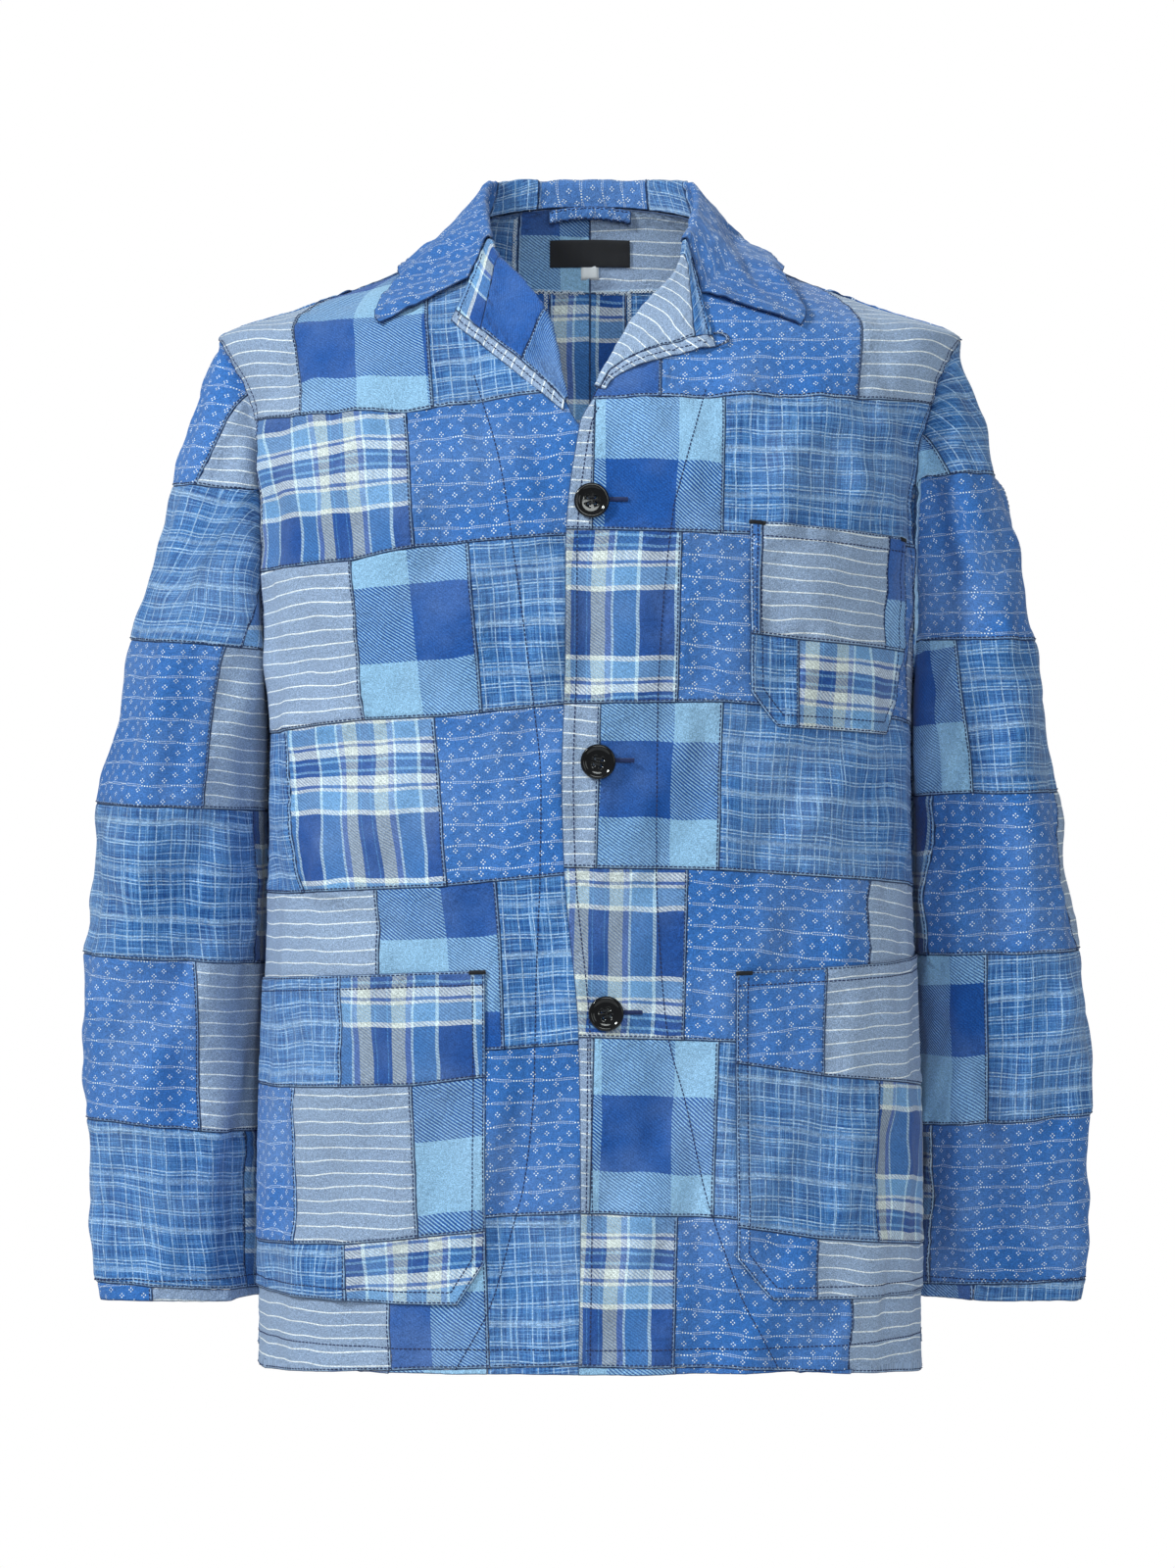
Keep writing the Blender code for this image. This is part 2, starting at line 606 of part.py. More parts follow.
def build_button(name, place, parts, cutters):
    """A dished four-hole button on the left front, its axis along the cloth's normal."""
    r, h = button_diameter / 2, button_height
    profile = [(0, 0), (r * 0.85, 0), (r, h * 0.40), (r * 0.93, h), (r * 0.76, h * 0.93), (r * 0.62, h * 0.66),
               (0, h * 0.62)]
    mesh = bpy.data.meshes.new(name)
    mesh.from_pydata([(x, 0, z) for x, z in profile], [(i, i + 1) for i in range(len(profile) - 1)], [])
    obj = bpy.data.objects.new(name, mesh)
    screw = obj.modifiers.new("turned", "SCREW")
    screw.angle = 2 * math.pi
    screw.steps = screw.render_steps = 18
    screw.use_merge_vertices = True
    screw.merge_threshold = 0.00005
    screw.use_normal_calculate = True
    for i in range(4):
        a = math.pi / 4 + i * math.pi / 2
        at = (0.0026 * math.cos(a), 0.0026 * math.sin(a), h / 2)
        bpy.ops.mesh.primitive_cylinder_add(vertices=6, radius=button_hole / 2, depth=h * 2, location=at)
        hole = bpy.context.active_object
        hole.name = f"{name}_hole_{i + 1}"
        for c in list(hole.users_collection):
            c.objects.unlink(hole)
        cutters.objects.link(hole)
        hole.hide_render = True
        hole.display_type = "WIRE"
        hole.parent = obj
        cut = obj.modifiers.new(f"hole_{i + 1}", "BOOLEAN")
        cut.operation = "DIFFERENCE"
        cut.solver = "EXACT"
        cut.object = hole
    angle, level = front_place(*place)
    seat = float(over(angle, level)) + seam_gap
    position = Vector(lifted(angle, level, seat))
    normal = Vector(outward(angle, level))
    side = Vector((0, 0, 1)).cross(normal).normalized()
    up = normal.cross(side)
    obj.matrix_world = Matrix.Translation(position) @ Matrix((side, up, normal)).transposed().to_4x4()
    return keep(obj, (0.01, 0.01, 0.012), 0.18, parts)


def inside_sheet(name, half_width, high, low, depth, thickness, columns, rows, colour, parts):
    """A small piece that hangs inside the back, centred, from level high to level low."""
    x = np.linspace(-half_width, half_width, columns)
    level = np.linspace(low, high, rows)
    x, level = np.meshgrid(x, level)
    y_back = section(level, 3)
    angle = np.degrees(np.arctan2(y_back * np.sqrt(1 - (x / section(level, 1)) ** 2), x))
    points = lifted(angle, level, np.full(angle.shape, -depth))
    obj = thicken(grid_object(name, points, flip=True), thickness)
    return keep(obj, colour, 0.8, parts)


def build_hanger(name, parts):
    """The hanger strip: an arched band at the collar seam inside the back neck."""
    x = np.linspace(-0.0270, 0.0270, 13)
    arch = 1 - (x / 0.0270) ** 2
    middle = 0.0215 + 0.0035 * arch
    half = 0.0045
    stand_off = 0.0021 + 0.0010 * arch
    rows = []
    for v in np.linspace(-1, 1, 4):
        z = middle + half * v
        wall = 0.0798 - 0.10 * (z - 0.027) * (z > 0.027) + 0.30 * np.maximum(0.027 - z, 0) - 4.2 * x * x
        rows.append(np.stack([x, wall - cloth - stand_off, z], axis=-1))
    obj = thicken(grid_object(name, np.array(rows)), 0.0010)
    return keep(obj, (0.14, 0.26, 0.52), 0.9, parts)


def build_loop(name, parts):
    """The small cloth loop at the corner of the left lapel."""
    base_x, base_z = left_outer[-1]
    angle, level = front_place(base_x, base_z)
    origin = lifted(angle, level, 0.0026)
    normal = outward(angle, level)
    higher_x, higher_z = along_line(left_outer[-1:] + ((0.0713, -0.0456),), 1.0)
    h_angle, h_level = front_place(higher_x, higher_z)
    up = unit(lifted(h_angle, h_level, 0.0034) - origin)
    right = unit(np.cross(up, normal))
    right = right if right[0] > 0 else -right
    rows = []
    for a in np.linspace(-math.pi / 2, math.pi / 2, 11):
        rim = [origin + right * (seam_gap + r * math.cos(a)) + up * (0.0055 + r * 0.62 * math.sin(a))
               for r in (0.0095, 0.0065)]
        rows.append(rim)
    obj = thicken(grid_object(name, np.array(rows)), 0.0016)
    return keep(obj, (0.30, 0.38, 0.52), 0.9, parts)


def main():
    for obj in list(bpy.data.objects):
        bpy.data.objects.remove(obj)
    parts = bpy.data.collections.new("Patchwork Jacket")
    cutters = bpy.data.collections.new("Cutters")
    bpy.context.scene.collection.children.link(parts)
    bpy.context.scene.collection.children.link(cutters)
    build_back("back_left", 1, parts)
    build_back("back_right", -1, parts)
    build_front("front_left", 1, parts)
    build_front("front_right", -1, parts)
    build_sleeve("sleeve_left", 1, parts)
    build_sleeve("sleeve_right", -1, parts)
    build_lapel("lapel_left", 1, parts)
    build_lapel("lapel_right", -1, parts)
    build_collar("collar", parts)
    build_pocket("pocket_chest", chest_pocket, 12, parts)
    build_pocket("pocket_left", left_pocket, 13, parts)
    build_pocket("pocket_right", right_pocket, 15, parts)
    for name, place in zip(("button_top", "button_middle", "button_bottom"), button_places):
        build_button(name, place, parts, cutters)
    build_hanger("hanger_loop", parts)
    inside_sheet("neck_label", 0.0270, -0.0172, -0.0288, cloth + seam_gap + 0.0008, 0.0006, 9, 4,
                 (0.012, 0.012, 0.013), parts)
    inside_sheet("size_tab", 0.0060, -0.0265, -0.0338, cloth + seam_gap, 0.0004, 3, 4, (0.85, 0.86, 0.88), parts)
    build_loop("lapel_loop", parts)


main()
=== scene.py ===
"""Dresses the patchwork jacket: patched cloth, seams, stitches, collar, pockets, buttons, trim and studio.
Lengths are metres. +X is the wearer's left, the front faces -Y, and Z runs up from the side-neck points."""
import math

import bpy
import numpy as np
from mathutils import Matrix, Vector
from mathutils.bvhtree import BVHTree


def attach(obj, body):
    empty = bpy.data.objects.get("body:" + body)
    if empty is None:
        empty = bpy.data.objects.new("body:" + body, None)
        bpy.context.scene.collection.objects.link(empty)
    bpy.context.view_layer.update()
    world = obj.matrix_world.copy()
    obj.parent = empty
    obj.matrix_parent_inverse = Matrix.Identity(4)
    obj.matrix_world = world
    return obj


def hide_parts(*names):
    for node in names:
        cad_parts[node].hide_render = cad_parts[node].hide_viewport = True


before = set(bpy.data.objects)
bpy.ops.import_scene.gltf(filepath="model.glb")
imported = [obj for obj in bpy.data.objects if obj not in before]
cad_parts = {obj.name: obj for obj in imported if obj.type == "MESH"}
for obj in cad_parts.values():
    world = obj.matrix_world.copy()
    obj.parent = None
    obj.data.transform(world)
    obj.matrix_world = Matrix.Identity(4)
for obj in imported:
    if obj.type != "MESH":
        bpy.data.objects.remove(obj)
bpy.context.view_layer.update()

bl_info = {
    "name": "Patchwork Jacket",
    "version": (1, 0, 0),
    "blender": (4, 5, 0),
    "location": "View3D > Sidebar > Jacket",
    "description": "Builds the patched cloth, sewing and trim of a buttoned patchwork jacket",
    "category": "Object",
}

# Driving dimensions, the same as the solids'
back_length = 0.721
shoulder_drop = 0.066
armhole_bottom = 0.285
armhole_middle = -(shoulder_drop + armhole_bottom) / 2
armhole_half = (armhole_bottom - shoulder_drop) / 2
front_cut = 11.0
back_cut = 19.0
overlap_lift = 0.0022
hidden_edge = 0.022
cuff_level = 0.688
roll_radius = 0.0024
roll_flat = 0.0008
seam_gap = 0.00035
body_shift = 0.005
button_places = ((0.001, -0.177), (0.005, -0.339), (0.010, -0.496))

# The camera: it stands level, this far in front of the jacket
camera_distance = 3.2
camera_x = -0.0016
camera_z = -0.353
picture = (1199, 1600)
focal_pixels = 5049.0

# Body sections from hem to neck: level, half width, depth forward, depth back, squareness
sections = (
    (-0.721, 0.2140, 0.125, 0.120, 2.4),
    (-0.600, 0.2135, 0.124, 0.118, 2.4),
    (-0.450, 0.2090, 0.122, 0.112, 2.5),
    (-0.330, 0.2070, 0.125, 0.113, 2.6),
    (-0.240, 0.2090, 0.130, 0.122, 2.8),
    (-0.170, 0.2120, 0.128, 0.127, 2.8),
    (-0.130, 0.2160, 0.120, 0.125, 2.6),
    (-0.100, 0.2240, 0.110, 0.120, 2.4),
    (-0.066, 0.2400, 0.092, 0.107, 2.1),
    (-0.045, 0.1840, 0.083, 0.097, 2.0),
    (-0.022, 0.1210, 0.074, 0.086, 2.0),
    (-0.010, 0.1000, 0.068, 0.080, 2.0),
    (0.000, 0.0850, 0.062, 0.075, 2.0),
)


# Curves and small helpers
def through(knots, values, x):
    """A smooth curve through the knots that doesn't overshoot them."""
    k = np.asarray(knots, float)
    v = np.asarray(values, float)
    x = np.clip(np.asarray(x, float), k[0], k[-1])
    h = np.diff(k)
    d = np.diff(v) / h
    m = np.zeros(len(k))
    m[0], m[-1] = d[0], d[-1]
    same = d[:-1] * d[1:] > 0
    mean = 2 * d[:-1] * d[1:] / np.where(same, d[:-1] + d[1:], 1)
    m[1:-1] = np.where(same, mean, 0)
    i = np.clip(np.searchsorted(k, x, side="right") - 1, 0, len(h) - 1)
    s = (x - k[i]) / h[i]
    a = v[i] * (1 + 2 * s) * (1 - s) ** 2 + m[i] * h[i] * s * (1 - s) ** 2
    return a + v[i + 1] * s * s * (3 - 2 * s) + m[i + 1] * h[i] * s * s * (s - 1)


def through_points(knots, points, x):
    p = np.asarray(points, float)
    return np.stack([through(knots, p[:, i], x) for i in range(p.shape[1])], axis=-1)


def smooth(low, high, x):
    t = np.clip((np.asarray(x, float) - low) / (high - low), 0, 1)
    return t * t * (3 - 2 * t)


def unit(v):
    v = np.asarray(v, float)
    return v / np.maximum(np.linalg.norm(v, axis=-1, keepdims=True), 1e-12)


def run_along(points, axis=0):
    """Length from the first point of each line, for a grid or a list of points."""
    step = np.linalg.norm(np.diff(points, axis=axis), axis=-1)
    run = np.cumsum(step, axis=axis)
    return np.concatenate([np.zeros_like(np.take(run, [0], axis=axis)), run], axis=axis)


def matched(a, b):
    """Both values as float arrays of one shape."""
    return np.broadcast_arrays(np.asarray(a, float), np.asarray(b, float))


def read_grid(table, i, j):
    """A value of a table between its places, at row i and column j."""
    i0 = np.clip(i.astype(int), 0, table.shape[0] - 2)
    j0 = np.clip(j.astype(int), 0, table.shape[1] - 2)
    f, g = i - i0, j - j0
    if table.ndim > 2:
        f, g = f[..., None], g[..., None]
    low = table[i0, j0] * (1 - g) + table[i0, j0 + 1] * g
    high = table[i0 + 1, j0] * (1 - g) + table[i0 + 1, j0 + 1] * g
    return low * (1 - f) + high * f


def mirrored(points, side):
    return points if side > 0 else points * np.array([-1.0, 1.0, 1.0])


# The body's surface
section_table = np.array(sections)


def section(level, column):
    return through(section_table[:, 0], section_table[:, column], level)


def folds(angle, level):
    a = np.radians(angle)
    low = smooth(-0.25, -0.60, level)
    run = 0.0022 * low * np.sin(6 * a + 1.1 + 2.2 * level)
    run += 0.0014 * low * np.sin(11 * a - 0.7 - 3.0 * level)
    return run * smooth(0.24, 0.55, np.abs(np.cos(a)))


def tilt(angle, level):
    """Levels near the neck tip forward: their back is higher than their front."""
    near = smooth(-0.066, 0.0, level)
    return near * np.where(np.sin(np.radians(angle)) > 0, 0.36, 0.20)


def body(angle, level):
    """A point of the body surface. Angle 0 is the left side, -90 the front, 90 the back."""
    angle, level = matched(angle, level)
    c, s = np.cos(np.radians(angle)), np.sin(np.radians(angle))
    wide = section(level, 1)
    deep = np.where(s < 0, section(level, 2), section(level, 3))
    n = section(level, 4)
    r = (np.abs(c / wide) ** n + np.abs(s / deep) ** n) ** (-1 / n) + folds(angle, level)
    y = body_shift + r * s
    return np.stack([r * c, y, level + tilt(angle, level) * y], axis=-1)


def outward(angle, level):
    e, f = 0.05, 0.0002
    along = body(np.asarray(angle) + e, level) - body(np.asarray(angle) - e, level)
    up = body(angle, np.asarray(level) + f) - body(angle, np.asarray(level) - f)
    return unit(np.cross(along, up))


def lifted(angle, level, height):
    return body(angle, level) + outward(angle, level) * np.asarray(height)[..., None]


def front_place(x, z):
    """Angle and level of the point of the front that is seen at x, z."""
    x, z = matched(x, z)
    low, high = np.full(x.shape, -0.73), np.full(x.shape, 0.0)
    for _ in range(40):
        level = (low + high) / 2
        wide, deep, n = section(level, 1), section(level, 2), section(level, 4)
        y = body_shift - deep * (np.maximum(1 - np.abs(x / wide) ** n, 1e-9)) ** (1 / n)
        seen = level + smooth(-0.066, 0.0, level) * 0.20 * y
        low, high = np.where(seen < z, level, low), np.where(seen < z, high, level)
    return np.degrees(np.arctan2(y - body_shift, x)), level


def armhole_angle(level, cut):
    turn = np.clip((armhole_middle - np.asarray(level, float)) / armhole_half, -1, 1)
    return cut * np.maximum(1 - turn * turn, 0) ** 0.41


# Front edges seen from the front as x, z in the wearer's left frame. The right front is mirrored.
left_edge = ((-0.0073, -0.721), (-0.0060, -0.615), (-0.0073, -0.512), (-0.0165, -0.402), (-0.0177, -0.353),
             (-0.0153, -0.255), (-0.0153, -0.207), (-0.0067, -0.130), (0.0015, -0.1127), (0.0110, -0.094),
             (0.036, -0.054), (0.0620, -0.0098))
right_edge = ((-hidden_edge, -0.721), (-hidden_edge, -0.400), (-hidden_edge, -0.150), (0.0085, -0.127),
              (0.0260, -0.068), (0.0450, -0.036), (0.0655, -0.0085))


def edge_places(points):
    p = np.array(points)
    angle, level = front_place(p[:, 0], p[:, 1])
    level[0], level[-1] = -back_length, 0.0
    return angle, level


edge_knots = {1: edge_places(left_edge), -1: edge_places(right_edge)}


def inner_angle(side, level):
    angle, knots = edge_knots[side]
    return through(knots, angle, level)


def over(side, angle, level):
    """How far the left front stands off where it covers the right front."""
    if side < 0:
        return np.zeros(np.broadcast(angle, level).shape)
    x = body(angle, level)[..., 0]
    return overlap_lift * (1 - smooth(0.026, 0.062, x)) * smooth(-0.085, -0.125, level)


class Wrap:
    """Lengths around the body at each level, from the centre front or the centre back towards the side."""

    def __init__(self, start, low, high):
        self.levels = np.linspace(-back_length, 0.0, 145)
        self.angles = np.linspace(low, high, int(abs(high - low)) + 1)
        points = body(self.angles[None, :], self.levels[:, None])
        run = run_along(points, axis=1)
        home = int(np.argmin(np.abs(self.angles - start)))
        self.run = run - run[:, home:home + 1]
        self.turn = 1 if high > low else -1
        self.columns = np.linspace(0, float(self.run[:, -1].max()) * 0.98, 40)
        angles = self.angle(self.columns[None, :], self.levels[:, None])
        self.risen = run_along(body(angles, self.levels[:, None]), axis=0)

    def row(self, level):
        """The row of the tables at a level, with its fraction."""
        step = self.levels[1] - self.levels[0]
        return np.clip((level - self.levels[0]) / step, 0, len(self.levels) - 1.001)

    def length(self, angle, level):
        angle, level = matched(angle, level)
        column = np.clip((angle - self.angles[0]) * self.turn, 0, len(self.angles) - 1.001)
        return read_grid(self.run, self.row(level), column)

    def angle(self, length, level):
        length, level = matched(length, level)
        low = np.full(length.shape, self.angles[0])
        high = np.full(length.shape, self.angles[-1])
        for _ in range(24):
            middle = (low + high) / 2
            short = self.length(middle, level) < length
            low, high = np.where(short, middle, low), np.where(short, high, middle)
        return (low + high) / 2

    def rise(self, length, level):
        """Length of cloth up from the hem at a constant length from the centre."""
        length, level = matched(length, level)
        column = np.clip(length / (self.columns[1] - self.columns[0]), 0, len(self.columns) - 1.001)
        return read_grid(self.risen, self.row(level), column)

    def top(self, length):
        """Level of the neckline or the shoulder seam at this length."""
        side = self.length(0.0, self.levels)
        upper = self.levels >= -shoulder_drop
        return np.interp(-np.asarray(length), -side[upper], self.levels[upper])


front_wrap = Wrap(-90.0, -116.0, 2.0)
back_wrap = Wrap(90.0, 92.0, -2.0)


# Reading the picture
def in_picture(points):
    """Pixel place of points in space."""
    scale = focal_pixels / (camera_distance + points[..., 1])
    across = picture[0] / 2 + (points[..., 0] - camera_x) * scale
    down = picture[1] / 2 - (points[..., 2] - camera_z) * scale
    return np.stack([across, down], axis=-1)


def from_picture(px, py, side):
    """Length from the centre front and level of the front's point that shows at a pixel."""
    y = -0.11
    for _ in range(4):
        scale = (camera_distance + y) / focal_pixels
        x = (camera_x + (px - picture[0] / 2) * scale) * side
        z = camera_z + (picture[1] / 2 - py) * scale
        x = min(x, 0.2125)
        angle, level = front_place(x, z)
        y = float(body(angle, level)[..., 1])
    return float(front_wrap.length(angle, level)), float(level)


# Relief of worn cloth
def waves(seed, wavelength, count=6):
    rng = np.random.default_rng(seed)
    way = unit(rng.normal(size=(count, 3)) * np.array([1.0, 0.7, 0.6]))
    return way * (2 * math.pi / wavelength) * rng.uniform(0.75, 1.3, (count, 1)), rng.uniform(0, 6.28, count)


wave_sets = [(waves(3, 0.110), 0.0019), (waves(5, 0.046), 0.0020), (waves(8, 0.022), 0.00080)]

crease_strength = 2.4

# Creases seen in the picture: first pixel, last pixel, half width in metres, height (a trough is negative)
front_creases = (
    ((300, 330), (262, 455), 0.007, -0.0012), ((330, 345), (300, 520), 0.009, 0.0013),
    ((470, 350), (520, 560), 0.008, -0.0011), ((500, 600), (560, 900), 0.008, -0.0010),
    ((530, 450), (575, 640), 0.007, 0.0011), ((560, 1000), (500, 1340), 0.010, -0.0013),
    ((540, 980), (475, 1330), 0.010, 0.0012), ((300, 700), (420, 900), 0.012, 0.0010),
    ((285, 900), (420, 975), 0.008, -0.0011), ((900, 330), (930, 470), 0.008, -0.0012),
    ((860, 360), (900, 520), 0.009, 0.0012), ((640, 330), (760, 420), 0.007, -0.0009),
    ((700, 560), (680, 900), 0.009, 0.0009), ((720, 900), (770, 1380), 0.012, 0.0014),
    ((690, 1060), (740, 1400), 0.009, -0.0012), ((930, 760), (780, 880), 0.010, 0.0009),
    ((940, 860), (840, 960), 0.008, -0.0010), ((610, 1180), (650, 1405), 0.010, -0.0012),
    ((800, 420), (930, 450), 0.006, 0.0007), ((380, 1180), (400, 1400), 0.011, 0.0010),
    ((860, 1120), (880, 1400), 0.011, 0.0011), ((330, 1120), (310, 1400), 0.010, -0.0010),
)
back_creases = (
    ((420, 360), (330, 520), 0.010, 0.0016), ((450, 380), (360, 600), 0.009, -0.0013),
    ((760, 360), (860, 520), 0.010, 0.0016), ((740, 380), (830, 600), 0.009, -0.0013),
    ((600, 420), (590, 1380), 0.018, -0.0016), ((520, 700), (540, 1390), 0.012, 0.0014),
    ((690, 650), (670, 1390), 0.012, 0.0014), ((330, 620), (460, 760), 0.010, 0.0012),
    ((870, 640), (740, 780), 0.010, 0.0012), ((380, 900), (360, 1390), 0.012, -0.0013),
    ((830, 880), (850, 1390), 0.012, -0.0013), ((300, 980), (290, 1380), 0.012, 0.0013),
    ((900, 960), (905, 1380), 0.012, 0.0013),
)
sleeve_creases = (
    ((225, 360), (160, 640), 0.010, 0.0015), ((245, 420), (200, 700), 0.009, -0.0013),
    ((190, 640), (120, 960), 0.011, 0.0013), ((240, 700), (175, 1040), 0.010, -0.0013),
    ((255, 820), (215, 1240), 0.010, 0.0014), ((130, 980), (120, 1300), 0.011, -0.0012),
    ((165, 1000), (160, 1310), 0.010, 0.0013), ((235, 1080), (225, 1315), 0.009, -0.0013),
    ((960, 380), (1010, 640), 0.010, 0.0015), ((945, 440), (975, 720), 0.009, -0.0013),
    ((1010, 620), (1060, 900), 0.011, 0.0013), ((965, 700), (1010, 1050), 0.010, -0.0013),
    ((960, 900), (985, 1260), 0.010, 0.0014), ((1075, 940), (1085, 1290), 0.011, -0.0012),
    ((1040, 980), (1050, 1300), 0.010, 0.0013), ((995, 1060), (1010, 1300), 0.009, -0.0013),
)


def crease_height(points, creases):
    """Adds up soft troughs and ridges along straight runs, seen from the front or through to the back."""
    at = in_picture(points)
    scale = (camera_distance + points[..., 1]) / focal_pixels
    total = np.zeros(points.shape[:-1])
    for first, last, width, height in creases:
        a, b = np.array(first, float), np.array(last, float)
        line = b - a
        share = np.sum((at - a) * line, axis=-1) / np.sum(line * line)
        bend = 7.0 * np.sin(3.1 * share + first[0])
        normal = np.array([-line[1], line[0]]) / np.linalg.norm(line)
        aside = (np.sum((at - a) * normal, axis=-1) - bend) * scale
        ends = smooth(-0.10, 0.25, share) * (1 - smooth(0.75, 1.10, share))
        total += crease_strength * height * ends * np.exp(-((aside / width) ** 2))
    return total


def undulation(points):
    total = np.zeros(points.shape[:-1])
    for (ways, phases), height in wave_sets:
        total += height * np.sin(points @ ways.T + phases).sum(axis=-1) / math.sqrt(len(phases))
    return total


def body_relief(points, strength=1.0):
    """Relief of the body cloth. It dies out at the neck, beside the sleeves and along the side seams."""
    x, y, z = points[..., 0], points[..., 1], points[..., 2]
    neck = 1 - smooth(-0.150, -0.085, z - 0.35 * np.abs(x)) * (1 - smooth(0.115, 0.150, np.abs(x)))
    side = smooth(0.0, 0.045, np.abs(y - body_shift))
    shoulder = 1 - 0.7 * smooth(-0.10, -0.06, z)
    front, back = crease_height(points, front_creases), crease_height(points, back_creases)
    crease = np.where(y < body_shift, front, back)
    calm = 1.0
    for bx, bz in button_places:
        away = np.hypot(x - bx, z - bz)
        calm = calm * np.where(y < 0, smooth(0.009, 0.030, away), 1.0)
    return (undulation(points) + crease) * neck * side * shoulder * calm * strength


def body_spot(side, wrap, length, level, height=0.0, relief=1.0):
    """A point of a front or a back in space, with its relief, and the normal there."""
    angle = wrap.angle(length, level)
    lift = over(side, angle, level) if wrap is front_wrap else 0.0
    base = mirrored(lifted(angle, level, lift + height), side)
    normal = mirrored(outward(angle, level), side)
    if relief:
        base = base + normal * (body_relief(base) * relief)[..., None]
    return base, normal


# Sleeves
outer_levels = (-0.688, -0.639, -0.595, -0.544, -0.480, -0.429, -0.372, -0.321, -0.264, -0.210, -0.162,
                -0.130, -0.0986, -0.066)
outer_left = (0.3160, 0.3210, 0.3230, 0.3244, 0.3210, 0.3148, 0.3060, 0.2970, 0.2887, 0.2790, 0.2690, 0.2595,
              0.2530, 0.2415)
outer_right = (0.3200, 0.3240, 0.3280, 0.3294, 0.3294, 0.3240, 0.3160, 0.3066, 0.2957, 0.2840, 0.2716, 0.2620,
               0.2525, 0.2415)
sleeve_outers = {1: outer_left, -1: outer_right}
hang_start = 0.42           # the share of the sleeve after which its section stays level
hang_level = -0.36


def armhole_points(turn):
    """Angle and level around the armhole: turn 0 underarm, 0.25 front, 0.5 shoulder tip, 0.75 back."""
    turn = np.asarray(turn, float)
    level = armhole_middle - armhole_half * np.cos(2 * math.pi * turn)
    cut = np.where(turn < 0.5, -armhole_angle(level, front_cut), armhole_angle(level, back_cut))
    return cut, level


def leave_direction(turn):
    e = 0.004
    a0, z0 = armhole_points((turn - e) % 1)
    a1, z1 = armhole_points((turn + e) % 1)
    angle, level = armhole_points(turn)
    edge = unit(body(a1, z1) - body(a0, z0))
    normal = outward(angle, level)
    away = unit(np.cross(edge, normal))
    lean = smooth(-0.20, -0.284, level)[..., None]
    return unit(away * (1 - lean) + normal * lean)


def sleeve_ring(turn, t, outer):
    """An oval section of the sleeve, whose plane turns from the armhole's to level on the way down."""
    s = np.clip(t / hang_start, 0, 1)
    below = np.clip((t - hang_start) / (1 - hang_start), 0, 1)
    top_z = -shoulder_drop + (hang_level + shoulder_drop) * s + (-cuff_level - hang_level) * below
    low_z = -armhole_bottom + (hang_level + armhole_bottom) * s + (-cuff_level - hang_level) * below
    mid_z = (top_z + low_z) / 2
    top_x = through(outer_levels, outer, top_z)
    back = through((-cuff_level, -0.45, -0.30, -0.06), (0.040, 0.028, 0.014, 0.004), mid_z)
    swing = through((-cuff_level, -0.45, -0.30, -0.06), (0.022, 0.012, 0.002, 0.0), low_z)
    low_x = through((-cuff_level, -0.55, -0.36, -0.285), (0.206, 0.204, 0.2060, 0.2080), low_z)
    depth_levels = (-cuff_level, -0.60, -0.45, -0.36, -0.20, -0.066)
    depth = through(depth_levels, (0.034, 0.042, 0.053, 0.058, 0.062, 0.050), mid_z)
    angle = 2 * math.pi * turn
    high = np.stack(np.broadcast_arrays(top_x, back - swing, top_z), axis=-1)
    low = np.stack(np.broadcast_arrays(low_x, back + swing, low_z), axis=-1)
    c = -np.cos(angle)[..., None]
    s1 = np.sin(angle)[..., None]
    c = np.sign(c) * np.abs(c) ** 0.92
    s1 = np.sign(s1) * np.abs(s1) ** 0.92
    front = np.array([0.0, -1.0, 0.0])
    return (high + low) / 2 + c * (high - low) / 2 + s1 * front * np.asarray(depth)[..., None]


def sleeve_folds(turn, t):
    a = 2 * math.pi * turn
    grow = smooth(0.10, 0.45, t)
    return grow * (0.0024 * np.sin(3 * a + 1.3 + 3.2 * t) + 0.0015 * np.sin(5 * a - 1.0 - 4.5 * t))


def clear_of_body(points, room):
    x, y, z = points[..., 0], points[..., 1] - body_shift, points[..., 2]
    angle = np.degrees(np.arctan2(y, x))
    near = body(angle, np.clip(z, -back_length, -shoulder_drop))
    reach = np.hypot(near[..., 0], near[..., 1] - body_shift) + room
    now = np.hypot(x, y)
    scale = np.where(now < reach, reach / now, 1.0)
    return np.stack([x * scale, y * scale + body_shift, z], axis=-1)


def sleeve_base(turn, t, outer):
    """The sleeve's surface: turn runs round it, t from the armhole to the hem."""
    turn, t = np.broadcast_arrays(np.asarray(turn, float) % 1, np.clip(np.asarray(t, float), 0, 1))
    angle, level = armhole_points(turn)
    tight = smooth(-0.20, -0.284, level)
    travel = np.minimum(seam_gap + t * 0.40, 0.007 * (1 - tight) + 0.0028 * tight)
    start = body(angle, level) + leave_direction(turn) * travel[..., None]
    e = 0.01
    around = sleeve_ring((turn + e) % 1, t, outer) - sleeve_ring((turn - e) % 1, t, outer)
    down = sleeve_ring(turn, np.minimum(t + e, 1), outer) - sleeve_ring(turn, np.maximum(t - e, 0), outer)
    normal = unit(np.cross(down, around))
    ring = sleeve_ring(turn, t, outer) + normal * sleeve_folds(turn, t)[..., None]
    share = smooth(0.004, 0.20, t)[..., None]
    points = start * (1 - share) + ring * share
    room = seam_gap + 0.0013 * smooth(0.0, 0.06, t) + 0.0016 * smooth(0.15, 0.45, t)
    cleared = clear_of_body(points, room)
    low = smooth(-0.13, -0.20, points[..., 2])[..., None]
    free = (t > 0.004)[..., None]
    return np.where(free, points * (1 - low) + cleared * low, points)


